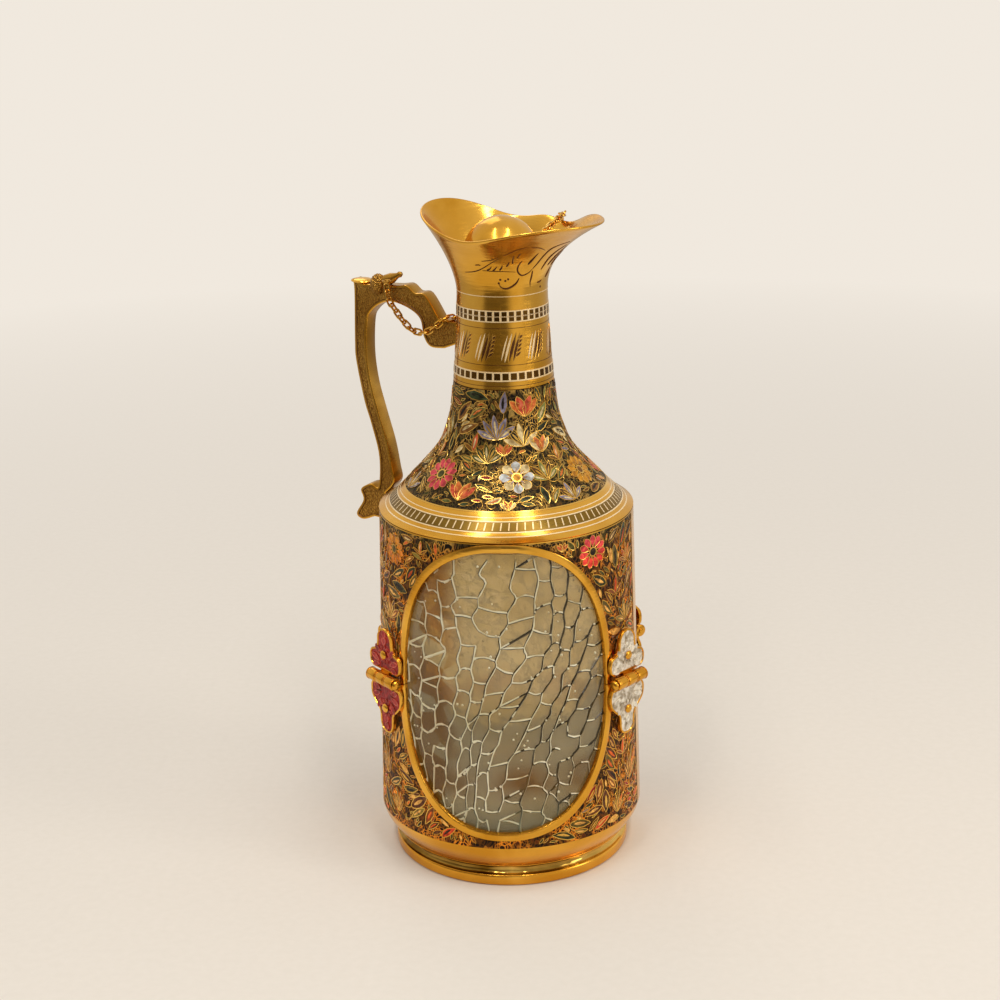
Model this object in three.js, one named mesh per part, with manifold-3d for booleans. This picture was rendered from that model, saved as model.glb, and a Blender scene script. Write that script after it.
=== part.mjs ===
import * as THREE from "three";
import { mergeVertices } from "three/addons/utils/BufferGeometryUtils.js";
import Module from "manifold-3d";

// Brass-cased glass pitcher with a saddle mouth, a ball stopper on a chain and butterfly hinges.
// Millimetres, +Z up, the foot stands on z = 0 and the front window looks along -Y.

const wasm = await Module();
wasm.setup();

// Walls and gaps
const sheet = 0.9;
const seam = 0.3;
const overrun = 20;

// Body levels and radii
const footHeight = 8.8;
const chamferHeight = 9.2;
const wallHeight = 120.2;
const coneHeight = 49;
const neckHeight = 33.8;
const flareHeight = 25.2;
const wallFootRadius = 51.1;
const footInset = 5.2;
const wallTaper = 2.8;
const collarRadius = 18.8;
const waistRadius = 16.8;
const spigotDepth = 4;
const aroundCount = 40;
const degree = Math.PI / 180;
const footRadius = wallFootRadius - footInset;
const wallTopRadius = wallFootRadius - wallTaper;
const wallFoot = footHeight + chamferHeight;
const wallTop = wallFoot + wallHeight;
const coneTop = wallTop + coneHeight;
const waistLevel = coneTop + neckHeight;
const rimLevel = waistLevel + flareHeight;

// Foot ring and base plate
const footWall = 2.4;
const beadHeight = 4.2;
const hollowDepth = 0.7;
const flangeWidth = 3;
const plateThick = 1.6;

// Window and its trim
const windowHalfAngle = 48.92;
const windowFootMargin = 6.8;
const windowTopMargin = 3;
const windowRoundness = 2.23;
const trimWidth = 3;
const trimProud = 0.9;
const trimBevel = 0.4;
const trimLining = 0.9;
const trimSteps = 32;
const windowAngles = { front: 0, rear: 180 };

// Handle
const handleAngle = -117.5;
const handleThick = 6.6;
const handleBevel = 0.6;
const handleStandOff = 15.45;
const handleTopDrop = 1.4;
const handleFootDrop = 15.2;
const knobRadius = 3.3;
const budRadius = 1.7;
const eyeRadius = 1.5;
const eyePostRadius = 0.7;

// Hinges
const hingeDrop = 2.5;
const hingeSetback = 8.9;
const hingeHalfWidth = 9.9;
const barrelHalfLength = 8.3;
const leafRise = 19.6;
const leafDrop = 22.4;
const leafThick = 1.4;
const barrelRadius = 2.4;
const barrelClear = 0.4;
const knuckleCount = 3;
const knuckleGap = 0.3;
const hingePinRadius = 1;
const hingePinClear = 0.15;
const hingePinHeadRadius = 1.7;
const hingePinHead = 1;
const rivetRadius = 0.8;
const rivetHeadRadius = 1.7;
const rivetHeadHeight = 0.9;
const upperRivetShare = 0.48;
const lowerRivetShare = 0.55;
const hingeAngles = { front_left: -50, front_right: 50, rear_right: 130, rear_left: -130 };

// Glass liner
const glassWall = 2;
const glassNeckWall = 1.7;
const glassRimDrop = 3.5;
const glassFloor = 2.6;
const glassClear = 0.4;

// Stopper
const ballRadius = 14.2;
const ballRise = 12.4;
const corkProud = 4.1;
const corkTaper = 0.7;
const corkHeight = 21;
const corkSides = 24;
const stemRadius = 2;
const stemLength = 20;
const stemGrip = 13;
const eyeletRadius = 1.9;
const eyeletAngle = 100;
const eyeletLift = 25;

// Chain
const linkPitch = 2.75;
const linkWire = 0.8;
const linkWidth = 3;
const linkSlack = 0.35;
const linkClear = 0.4;
const linkPinch = 0.15;
const linkSteps = 8;
const linkSides = 4;
const swagLinks = 9;
const wrapLinks = 5;
const mouthLinks = 5;

const group = new THREE.Group();
group.name = "pitcher";

const finishes = {
  brass: { color: 0xc8963c, roughness: 0.28, metalness: 1 },
  enamelled: { color: 0x4a3c1e, roughness: 0.45, metalness: 0.6 },
  glass: { color: 0xa8ad86, roughness: 0.1, metalness: 0 },
  red: { color: 0xa81e28, roughness: 0.35, metalness: 0.2 },
  white: { color: 0xcfc9c2, roughness: 0.35, metalness: 0.2 },
  cork: { color: 0xb08a58, roughness: 0.9, metalness: 0 },
};

function addNode(name, geometry, finish) {
  geometry.computeVertexNormals();
  const mesh = new THREE.Mesh(geometry, new THREE.MeshStandardMaterial(finishes[finish]));
  mesh.name = name;
  group.add(mesh);
  return mesh;
}

// Solids for the boolean cuts
function solid(geometry) {
  const bare = geometry.clone();
  bare.deleteAttribute("normal");
  bare.deleteAttribute("uv");
  const merged = mergeVertices(bare, 1e-4);
  const triVerts = [];
  const index = merged.index.array;
  for (let i = 0; i < index.length; i += 3) {
    const [a, b, c] = index.slice(i, i + 3);
    if (a !== b && b !== c && a !== c) triVerts.push(a, b, c);
  }
  const vertProperties = Float32Array.from(merged.attributes.position.array);
  const mesh = new wasm.Mesh({ numProp: 3, vertProperties, triVerts: Uint32Array.from(triVerts) });
  return new wasm.Manifold(mesh);
}

function geometryOf(body) {
  const mesh = body.getMesh();
  const geometry = new THREE.BufferGeometry();
  geometry.setAttribute("position", new THREE.BufferAttribute(Float32Array.from(mesh.vertProperties), 3));
  geometry.setIndex(new THREE.BufferAttribute(Uint32Array.from(mesh.triVerts), 1));
  return geometry.toNonIndexed();
}

const union = (geometries) => geometries.map(solid).reduce((whole, piece) => whole.add(piece));

// A turned piece: its profile is a list of [radius, height], up on the outside and down inside.
function turned(profile, around = aroundCount) {
  const points = profile.map(([radius, height]) => new THREE.Vector2(radius, height));
  if (profile[0][0] > 0) points.push(points[0].clone());
  return new THREE.LatheGeometry(points, around).rotateX(Math.PI / 2);
}

// A closed loop of points swept through a list of places, capped at its ends unless it joins itself.
function swept(rows, joined, section) {
  const sides = rows[0].length;
  const position = rows.flat().flatMap((point) => point.toArray());
  const index = [];
  const spans = joined ? rows.length : rows.length - 1;
  for (let i = 0; i < spans; i++) {
    for (let j = 0; j < sides; j++) {
      const a = i * sides + j;
      const b = i * sides + ((j + 1) % sides);
      const next = ((i + 1) % rows.length) * sides;
      index.push(a, b, next + j, b, next + ((j + 1) % sides), next + j);
    }
  }
  if (!joined) {
    const last = (rows.length - 1) * sides;
    for (const [a, b, c] of THREE.ShapeUtils.triangulateShape(section, [])) {
      index.push(a, c, b, last + a, last + b, last + c);
    }
  }
  const geometry = new THREE.BufferGeometry();
  geometry.setAttribute("position", new THREE.Float32BufferAttribute(position, 3));
  geometry.setIndex(index);
  return geometry;
}

const mix = (from, to, share) => from + (to - from) * share;

// Casing wall: a plain wall that widens slightly towards the foot, over a rounded chamfer.
const wallRadius = (z) => mix(wallFootRadius, wallTopRadius, (z - wallFoot) / wallHeight);
const windowBottom = wallFoot + windowFootMargin;
const windowTop = wallTop - windowTopMargin;
const windowLevel = (windowBottom + windowTop) / 2;
const windowHalfHeight = (windowTop - windowBottom) / 2;
const windowHalfWidth = windowHalfAngle * degree * wallRadius(windowLevel);
const hingeLevel = windowLevel - hingeDrop;
const chamferShares = [
  [0, 0],
  [0.42, 0.3],
  [0.78, 0.62],
  [1, 1],
];
const wallAtHinge = wallRadius(hingeLevel);

function lowerWallProfile(inset, bottom, top) {
  const radiusAtFoot = footRadius + seam;
  const low = chamferShares.map(([out, up]) => [
    mix(radiusAtFoot, wallFootRadius, out) - inset,
    mix(bottom, wallFoot, up),
  ]);
  return [...low, [wallRadius(top) - inset, top]];
}

function casing(bottomProfile, topProfile) {
  return [...bottomProfile, ...[...topProfile].reverse()];
}

// The oval of the window on the wall, as distance round the wall and height
function windowPoint(angle, grow) {
  const power = 2 / windowRoundness;
  const across = Math.sign(Math.cos(angle)) * Math.abs(Math.cos(angle)) ** power;
  const up = Math.sign(Math.sin(angle)) * Math.abs(Math.sin(angle)) ** power;
  return [across * (windowHalfWidth + grow), windowLevel + up * (windowHalfHeight + grow)];
}

function onWall([across, z], proud) {
  const angle = across / wallRadius(windowLevel);
  const radius = wallRadius(z) + proud;
  return new THREE.Vector3(radius * Math.sin(angle), -radius * Math.cos(angle), z);
}

// A plug through the wall in the shape of the window; close to the wall its sides match the trim.
function windowPlug() {
  const near = 2 * trimProud;
  const depths = [-overrun, -near, near, overrun];
  const position = [];
  for (const depth of depths) {
    for (let i = 0; i < trimSteps; i++) {
      const point = windowPoint((i / trimSteps) * 2 * Math.PI, trimLining + seam);
      position.push(...onWall(point, depth).toArray());
    }
  }
  for (const depth of [-overrun, overrun]) position.push(...onWall([0, windowLevel], depth).toArray());
  const index = [];
  const last = (depths.length - 1) * trimSteps;
  const middle = depths.length * trimSteps;
  for (let i = 0; i < trimSteps; i++) {
    const next = (i + 1) % trimSteps;
    for (let row = 0; row < last; row += trimSteps) {
      index.push(row + i, row + next, row + trimSteps + i);
      index.push(row + next, row + trimSteps + next, row + trimSteps + i);
    }
    index.push(next, i, middle, last + i, last + next, middle + 1);
  }
  const geometry = new THREE.BufferGeometry();
  geometry.setAttribute("position", new THREE.Float32BufferAttribute(position, 3));
  geometry.setIndex(index);
  return geometry;
}

// Which way along its plate a hinge is set back from the window beside it
const awayFromWindow = (angle) => Math.sign(Math.sin(2 * angle * degree));

// Rivet places on a hinge: distance above or below the barrel
const rivetHeights = { upper: leafRise * upperRivetShare, lower: -leafDrop * lowerRivetShare };

function rivetHole(height, from, to) {
  const hole = new THREE.CylinderGeometry(rivetRadius + seam, rivetRadius + seam, to - from, 8);
  return hole.translate(0, -(from + to) / 2, height);
}

function windowCut() {
  let cut = null;
  for (const angle of Object.values(windowAngles)) {
    const plug = solid(windowPlug().rotateZ(angle * degree));
    cut = cut ? cut.add(plug) : plug;
  }
  for (const angle of Object.values(hingeAngles)) {
    for (const height of Object.values(rivetHeights)) {
      const hole = rivetHole(hingeLevel + height, wallAtHinge - overrun, wallAtHinge + overrun);
      hole.translate(awayFromWindow(angle) * hingeSetback, 0, 0);
      cut = cut.add(solid(hole.rotateZ(angle * degree)));
    }
  }
  return cut;
}

function buildCasing() {
  const cut = windowCut();
  const halfSeam = seam / 2;
  const lowerTop = hingeLevel - halfSeam;
  const lowerOutside = lowerWallProfile(0, footHeight + seam, lowerTop);
  const lowerInside = lowerWallProfile(sheet, footHeight + seam, lowerTop);
  addNode(
    "lower_casing",
    geometryOf(solid(turned(casing(lowerOutside, lowerInside))).subtract(cut)),
    "enamelled",
  );
  const ends = [hingeLevel + halfSeam, wallTop];
  const upperOutside = ends.map((z) => [wallRadius(z), z]);
  const upperInside = ends.map((z) => [wallRadius(z) - sheet, z]);
  addNode(
    "upper_casing",
    geometryOf(solid(turned(casing(upperOutside, upperInside))).subtract(cut)),
    "enamelled",
  );
}

// Shoulder cone: shares of the way from the wall to the collar, and of its height
const coneShares = [
  [0, 0],
  [0.13, 0.05],
  [0.34, 0.178],
  [0.6, 0.342],
  [0.72, 0.425],
  [0.84, 0.545],
  [0.95, 0.75],
  [1, 1],
];

function conePoints(inset) {
  const foot = wallTop + seam;
  return coneShares.map(([inwards, up]) => [
    mix(wallTopRadius, collarRadius, inwards) - inset,
    mix(foot, coneTop, up),
  ]);
}

function buildShoulder() {
  const spigot = wallTopRadius - sheet - seam;
  const outside = conePoints(0);
  const inside = conePoints(sheet).filter((_, i) => i % 2 === 1);
  const skirt = [
    [spigot - sheet, outside[0][1]],
    [spigot - sheet, wallTop - spigotDepth],
    [spigot, wallTop - spigotDepth],
    [spigot, outside[0][1]],
  ];
  addNode("shoulder_cone", turned([...outside, ...inside.reverse(), ...skirt]), "enamelled");
}

// Neck and saddle mouth: the rim rises to a spout on one side and to a broad lobe on the other,
// with a small dip behind the spout where the chain crosses.
const spoutAngle = 60;
const rimRadius = 29.9;
const rimDipAngle = 119.7;
const rimDipSpreadAngle = 15;
const rimDip = 4.4;
const flarePower = 1.9;
const flarePowerLean = 0.35;
const flareSteps = 6;
const neckTaperShare = 0.72;
const neckBendShare = 0.55;

// Waves of the rim, from one to four round the mouth: each is how far it goes at the spout and
// at a quarter wave past it.
const rimOutWaves = [
  [4.25, -0.29],
  [5.34, 0.03],
  [-0.16, 0.1],
  [0.18, 0.14],
];
const rimUpWaves = [
  [-0.61, 0.91],
  [2.91, -0.1],
  [-1.07, -0.06],
  [-0.22, -0.49],
];

function waved(waves, turn) {
  const parts = waves.map(([atSpout, past], i) => {
    return atSpout * Math.cos((i + 1) * turn) + past * Math.sin((i + 1) * turn);
  });
  return parts.reduce((whole, part) => whole + part);
}

function mouthProfile(angle) {
  const turn = angle - spoutAngle * degree;
  const fromDip = Math.atan2(Math.sin(angle - rimDipAngle * degree), Math.cos(angle - rimDipAngle * degree));
  const dip = rimDip * Math.exp(-((fromDip / (rimDipSpreadAngle * degree)) ** 2));
  const radius = rimRadius + waved(rimOutWaves, turn);
  const level = rimLevel + waved(rimUpWaves, turn) - dip;
  const power = flarePower + flarePowerLean * Math.cos(turn);
  const points = [
    [collarRadius, coneTop + seam],
    [mix(collarRadius, waistRadius, neckTaperShare), mix(coneTop, waistLevel, neckBendShare)],
    [waistRadius, waistLevel],
  ];
  for (let i = 1; i <= flareSteps; i++) {
    const share = i / flareSteps;
    points.push([mix(waistRadius, radius, share ** power), mix(waistLevel, level, share)]);
  }
  return points;
}

// The same profile moved square to itself by the thickness of the sheet
function inwards(points, depth) {
  return points.map(([radius, level], i) => {
    const before = points[Math.max(i - 1, 0)];
    const after = points[Math.min(i + 1, points.length - 1)];
    const out = after[0] - before[0];
    const up = after[1] - before[1];
    const length = Math.hypot(out, up);
    return [radius - (up / length) * depth, level + (out / length) * depth];
  });
}

function buildNeck() {
  const rows = [];
  const spigot = collarRadius - sheet - seam;
  for (let i = 0; i < aroundCount; i++) {
    const angle = (i / aroundCount) * 2 * Math.PI;
    const outside = mouthProfile(angle);
    const inside = inwards(outside, sheet).slice(1);
    const skirt = [
      [spigot - sheet, coneTop - spigotDepth],
      [spigot, coneTop - spigotDepth],
      [spigot, coneTop + seam],
    ];
    const loop = [...outside, ...inside.reverse(), ...skirt];
    rows.push(
      loop.map(([radius, z]) => new THREE.Vector3(radius * Math.sin(angle), -radius * Math.cos(angle), z)),
    );
  }
  addNode("neck_and_mouth", swept(rows.reverse(), true), "brass");
}

// Window trims: a bevelled oval band on the wall with a lining that reaches in to the glass
function trimSection() {
  const inside = -sheet;
  return [
    [0, inside],
    [trimLining, inside],
    [trimLining, seam],
    [trimWidth, seam],
    [trimWidth, trimProud - trimBevel],
    [trimWidth - trimBevel, trimProud],
    [trimBevel, trimProud],
    [0, trimProud - trimBevel],
  ];
}

function halfSpace(from, to) {
  const size = 4 * wallFootRadius;
  return solid(new THREE.BoxGeometry(size, size, to - from).translate(0, 0, (from + to) / 2));
}

function buildTrims() {
  const rows = [];
  for (let i = 0; i < trimSteps; i++) {
    const angle = (i / trimSteps) * 2 * Math.PI;
    rows.push(trimSection().map(([grow, proud]) => onWall(windowPoint(angle, grow), proud)));
  }
  for (const [place, angle] of Object.entries(windowAngles)) {
    const ring = solid(swept([...rows].reverse(), true).rotateZ(angle * degree));
    const upper = ring.intersect(halfSpace(hingeLevel + seam / 2, wallTop + overrun));
    const lower = ring.intersect(halfSpace(-overrun, hingeLevel - seam / 2));
    addNode(place + "_trim_upper", geometryOf(upper), "brass");
    addNode(place + "_trim_lower", geometryOf(lower), "brass");
  }
}

// Foot ring with a polished hollow between its beads, a ledge for the base plate and a top flange
const ledgeRadius = footRadius - 2 * footWall;
const flangeRadius = ledgeRadius - flangeWidth;

function buildFoot() {
  const spigot = footRadius - sheet;
  const spigotTop = footHeight + chamferHeight * chamferShares[1][1];
  const middle = (beadHeight + footHeight) / 2;
  const ledge = plateThick + seam;
  const profile = [
    [footRadius - footWall, 0],
    [footRadius - hollowDepth, 0],
    [footRadius, hollowDepth],
    [footRadius, beadHeight],
    [footRadius - hollowDepth, middle],
    [footRadius, footHeight],
    [spigot, footHeight],
    [spigot, spigotTop],
    [spigot - sheet, spigotTop],
    [spigot - sheet, footHeight],
    [flangeRadius, footHeight],
    [flangeRadius, footHeight - sheet],
    [ledgeRadius, footHeight - sheet],
    [ledgeRadius, ledge],
    [footRadius - footWall, ledge],
  ];
  addNode("foot_ring", turned(profile), "brass");
  const plateRadius = footRadius - footWall - seam;
  const plate = [
    [0, 0],
    [plateRadius, 0],
    [plateRadius, plateThick],
    [0, plateThick],
  ];
  addNode("base_plate", turned(plate), "brass");
}

// Glass liner: a bottle that follows the casing from inside and ends as a bore for the cork
const glassRim = waistLevel - glassRimDrop;
const glassNeckRadius = Math.min(waistRadius - sheet, collarRadius - 2 * sheet - seam) - 2 * glassClear;

function buildLiner() {
  const reach = sheet + glassClear;
  const bottom = footHeight + seam;
  const shoulder = wallTop - spigotDepth - seam - glassClear;
  const shoulderRadius = wallTopRadius - 2 * sheet - seam - glassClear;
  const outside = [
    [ledgeRadius - seam, bottom],
    [footRadius - 2 * sheet - seam - glassClear, bottom + glassFloor],
    [wallFootRadius - reach - footWall, wallFoot - sheet],
    [wallFootRadius - reach, wallFoot + footWall],
    [wallRadius(shoulder) - reach, shoulder - glassWall],
    [shoulderRadius, shoulder],
  ];
  const under = conePoints(2 * sheet + seam + glassClear).slice(2, -1);
  const cone = under.map(([radius, z]) => [Math.max(radius, glassNeckRadius), z - glassClear]);
  const outer = [...outside, ...cone, [glassNeckRadius, coneTop + sheet], [glassNeckRadius, glassRim]];
  const inner = outer.map(([radius, z], i) => [
    radius - (i < outside.length + 1 ? glassWall : glassNeckWall),
    i === 0 ? z + glassFloor : z,
  ]);
  inner[1][1] += glassFloor / 2;
  const profile = [[0, bottom], ...outer, ...inner.reverse(), [0, bottom + glassFloor]];
  addNode("glass_liner", turned(profile), "glass");
}

// Handle outline as shares of the way from the neck to the outermost point, and of its height
const neckFootShare = 0.785;
const neckHeadShare = 0.87;
const leafTipShare = 0.015;
const leafHeadShare = 0.115;
const neckFaceShare = 0.37;
const neckFace = mix(collarRadius, waistRadius, neckFaceShare) + seam;
const handleTop = waistLevel - handleTopDrop;
const handleBottom = wallTop - handleFootDrop;
const wallFace = wallRadius(handleBottom) + seam;
const handleReach = wallFace + handleStandOff;
const wallShare = 0.6645;
const handleOuterShares = [
  [1.0, 1.0],
  [0.985, 0.955],
  [1.0, 0.752],
  [0.995, 0.67],
  [0.93, 0.51],
  [0.865, 0.41],
  [0.8, 0.28],
  [0.82, 0.152],
  [0.9, 0.158],
  [1.0, 0.13],
  [0.98, 0.085],
  [1.055, 0.022],
  [0.99, 0.0],
  [0.87, 0.02],
];
const handleInnerShares = [
  [0.745, 0.13],
  [0.655, 0.18],
  [0.67, 0.24],
  [0.71, 0.34],
  [0.785, 0.46],
  [0.855, 0.58],
  [0.885, 0.7],
  [0.87, 0.83],
  [0.83, 0.875],
  [0.73, 0.912],
  [0.61, 0.925],
  [0.45, 0.905],
  [0.345, 0.868],
  [0.315, 0.8],
  [0.25, 0.762],
  [0.12, 0.762],
];
const handleArchShares = [
  [0.165, 0.878],
  [0.29, 0.965],
  [0.39, 0.97],
  [0.47, 0.996],
  [0.59, 0.99],
  [0.9, 0.985],
];
const handleCurvePoints = 22;

// Up to its share the way out runs from the neck to the wall, and past it from the wall outwards.
function handlePoint([out, up]) {
  const inner = mix(neckFace, wallFace, out / wallShare);
  const outer = mix(wallFace, handleReach, (out - wallShare) / (1 - wallShare));
  return new THREE.Vector2(out < wallShare ? inner : outer, mix(handleBottom, handleTop, up));
}

function handleOutline() {
  const curve = (shares) => new THREE.SplineCurve(shares.map(handlePoint)).getPoints(handleCurvePoints);
  const flat = (radius, shares) =>
    shares.map((share) => new THREE.Vector2(radius, mix(handleBottom, handleTop, share)));
  return [
    ...curve(handleOuterShares),
    ...flat(wallFace, [leafTipShare, leafHeadShare]),
    ...curve(handleInnerShares),
    ...flat(neckFace, [neckFootShare, neckHeadShare]),
    ...handleArchShares.map(handlePoint),
  ];
}

// A point in the plane of the handle: distance from the axis, distance off the plane, height
function handlePlace(out, off, z) {
  const angle = handleAngle * degree;
  return new THREE.Vector3(
    out * Math.sin(angle) + off * Math.sin(angle + Math.PI / 2),
    -out * Math.cos(angle) - off * Math.cos(angle + Math.PI / 2),
    z,
  );
}

// Knob, bud and chain eye on the arch, as shares like the outline
const knobShares = [0.754, 0.988];
const budTipShares = [0.55, 1.035];
const eyeShares = [0.628, 1.011];
const chainOff = handleThick / 2 + linkWidth / 2 + linkClear;

function onHandle(shares, off) {
  const point = handlePoint(shares);
  return handlePlace(point.x, off, point.y);
}

// A round rod between two places, from one radius to another
function rod(from, to, radius, endRadius, sides) {
  const along = to.clone().sub(from);
  const piece = new THREE.CylinderGeometry(endRadius, radius, along.length(), sides);
  const turn = new THREE.Quaternion().setFromUnitVectors(new THREE.Vector3(0, 1, 0), along.normalize());
  const middle = from.clone().add(to).multiplyScalar(1 / 2);
  return piece.applyQuaternion(turn).translate(...middle.toArray());
}

function buildHandle() {
  const shape = new THREE.Shape(handleOutline());
  const plate = new THREE.ExtrudeGeometry(shape, {
    depth: handleThick - 2 * handleBevel,
    bevelEnabled: true,
    bevelThickness: handleBevel,
    bevelSize: handleBevel,
    bevelOffset: -handleBevel,
    bevelSegments: 1,
    steps: 1,
  });
  plate.rotateX(Math.PI / 2).translate(0, handleThick / 2 - handleBevel, 0);
  plate.rotateZ((handleAngle - 90) * degree);
  const knobPlace = onHandle(knobShares, handleThick / 3);
  const knob = new THREE.SphereGeometry(knobRadius, 12, 8).translate(...knobPlace.toArray());
  const bud = rod(knobPlace, onHandle(budTipShares, 0), budRadius, budRadius / 3, 8);
  const eyePlace = onHandle(eyeShares, chainOff);
  const eye = new THREE.TorusGeometry(eyeRadius, linkWire / 2, linkSides, linkSteps);
  eye.rotateX(Math.PI / 2).rotateZ((handleAngle - 90) * degree).translate(...eyePlace.toArray());
  const postEnd = eyePlace.clone().lerp(knobPlace, eyeRadius / eyePlace.distanceTo(knobPlace));
  const post = rod(knobPlace, postEnd, eyePostRadius, eyePostRadius, 6);
  addNode("handle", geometryOf(union([plate, knob, bud, eye, post])), "brass");
}

// Butterfly hinges. Local frame: x along the plate, -y out of the wall, z up, barrel at z = 0.
const wingShares = {
  upper: [
    [0.8, 0.14],
    [0.97, 0.22],
    [1.0, 0.38],
    [0.88, 0.5],
    [0.56, 0.57],
    [0.48, 0.7],
    [0.44, 0.85],
    [0.2, 0.99],
  ],
  lower: [
    [0.86, 0.13],
    [1.0, 0.24],
    [0.96, 0.42],
    [0.72, 0.55],
    [0.46, 0.66],
    [0.4, 0.88],
    [0.2, 0.99],
  ],
};
const wingPoints = 20;

function wingOutline(part) {
  const reach = part === "upper" ? leafRise : leafDrop;
  const foot = barrelRadius + barrelClear;
  const side = (sign) =>
    wingShares[part].map(([across, up]) => {
      return new THREE.Vector2(sign * across * hingeHalfWidth, Math.max(up * reach, foot));
    });
  const outline = new THREE.SplineCurve([...side(1), ...side(-1).reverse()]).getPoints(wingPoints);
  if (part === "upper") return new THREE.Shape(outline);
  return new THREE.Shape(outline.map((point) => new THREE.Vector2(point.x, -point.y)).reverse());
}

const leafOut = wallAtHinge + trimProud + seam;
const barrelOut = leafOut + barrelRadius;
const knucklePitch = (2 * barrelHalfLength) / knuckleCount;
const knuckleLength = knucklePitch - knuckleGap;

// Knuckle places of a leaf: the lower leaf has the outer ones, the upper leaf those between them.
function knucklePlaces(part) {
  const places = [];
  for (let slot = part === "lower" ? 0 : 1; slot < knuckleCount; slot += 2) {
    places.push((slot + 1 / 2) * knucklePitch - barrelHalfLength);
  }
  return places;
}

function barrelRod(radius, length, middle, sides) {
  const piece = new THREE.CylinderGeometry(radius, radius, length, sides);
  return piece.rotateZ(Math.PI / 2).translate(middle, -barrelOut, 0);
}

function hingeLeaf(part) {
  const direction = part === "upper" ? 1 : -1;
  const wing = new THREE.ExtrudeGeometry(wingOutline(part), { depth: leafThick, bevelEnabled: false });
  const pieces = [wing.rotateX(Math.PI / 2).translate(0, -leafOut, 0)];
  for (const middle of knucklePlaces(part)) {
    const reach = barrelRadius + 2 * barrelClear;
    const tongue = new THREE.BoxGeometry(knuckleLength, leafThick, reach);
    tongue.translate(middle, -leafOut - leafThick / 2, (direction * reach) / 2);
    pieces.push(barrelRod(barrelRadius, knuckleLength, middle, 10), tongue);
  }
  const bore = solid(barrelRod(hingePinRadius + hingePinClear, 4 * barrelHalfLength, 0, 10));
  const rivetCut = solid(rivetHole(rivetHeights[part], leafOut - overrun, leafOut + overrun));
  return geometryOf(union(pieces).subtract(bore).subtract(rivetCut));
}

function hingePin(side) {
  const half = barrelHalfLength + seam;
  const profile = [
    [0, -half],
    [hingePinRadius, -half],
    [hingePinRadius, half],
    [hingePinHeadRadius, half],
    [hingePinHeadRadius, half + hingePinHead / 2],
    [hingePinHeadRadius / 2, half + hingePinHead],
    [0, half + hingePinHead],
  ];
  return turned(profile, 10).rotateY((side * Math.PI) / 2).translate(0, -barrelOut, 0);
}

function rivet(height) {
  const wallHere = Math.sqrt(wallRadius(hingeLevel + height) ** 2 - hingeSetback ** 2);
  const head = leafOut + leafThick + seam;
  const profile = [
    [0, wallHere - sheet],
    [rivetRadius, wallHere - sheet],
    [rivetRadius, head],
    [rivetHeadRadius, head],
    [rivetHeadRadius / 2, head + rivetHeadHeight],
    [0, head + rivetHeadHeight],
  ];
  return turned(profile, 8).rotateX(Math.PI / 2).translate(0, 0, height);
}

function buildHinges() {
  for (const [place, angle] of Object.entries(hingeAngles)) {
    const finish = place.endsWith("left") ? "red" : "white";
    const away = awayFromWindow(angle);
    const pieces = [
      ["upper_leaf", hingeLeaf("upper"), finish],
      ["lower_leaf", hingeLeaf("lower"), finish],
      ["hinge_pin", hingePin(-away), "brass"],
      ["upper_rivet", rivet(rivetHeights.upper), "brass"],
      ["lower_rivet", rivet(rivetHeights.lower), "brass"],
    ];
    for (const [name, geometry, colour] of pieces) {
      geometry.translate(away * hingeSetback, 0, hingeLevel).rotateZ(angle * degree);
      addNode(place + "_" + name, geometry, colour);
    }
  }
}

// Stopper: a ball on a stem, over a tapered cork that fills the glass neck
const corkTop = glassRim + corkProud;
const corkRadius = glassNeckRadius - glassNeckWall - glassClear;
const ballLevel = corkTop + ballRise;
const stemBottom = corkTop - stemGrip;

function upright(radius, from, to, sides) {
  const piece = new THREE.CylinderGeometry(radius, radius, to - from, sides);
  return piece.rotateX(Math.PI / 2).translate(0, 0, (from + to) / 2);
}

function buildStopper() {
  const ballShape = new THREE.SphereGeometry(ballRadius, 24, 12);
  const ball = solid(ballShape.rotateX(Math.PI / 2).translate(0, 0, ballLevel));
  const flatLevel = corkTop + seam;
  const below = ballLevel - 2 * ballRadius;
  const socket = solid(upright(stemRadius + seam, below, stemBottom + stemLength + seam, 10));
  addNode("stopper_ball", geometryOf(ball.subtract(halfSpace(below, flatLevel)).subtract(socket)), "brass");
  const corkBottom = corkTop - corkHeight;
  const cork = turned(
    [
      [0, corkBottom],
      [corkRadius - corkTaper, corkBottom],
      [corkRadius, corkTop],
      [0, corkTop],
    ],
    corkSides,
  );
  const corkHole = solid(upright(stemRadius + seam, stemBottom - seam, corkTop + overrun, 10));
  addNode("stopper_cork", geometryOf(solid(cork).subtract(corkHole)), "cork");
  addNode("stopper_stem", upright(stemRadius, stemBottom, stemBottom + stemLength, 10), "brass");
}

const up = new THREE.Vector3(0, 0, 1);
const around = (angle, radius, z) =>
  new THREE.Vector3(radius * Math.sin(angle * degree), -radius * Math.cos(angle * degree), z);

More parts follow.
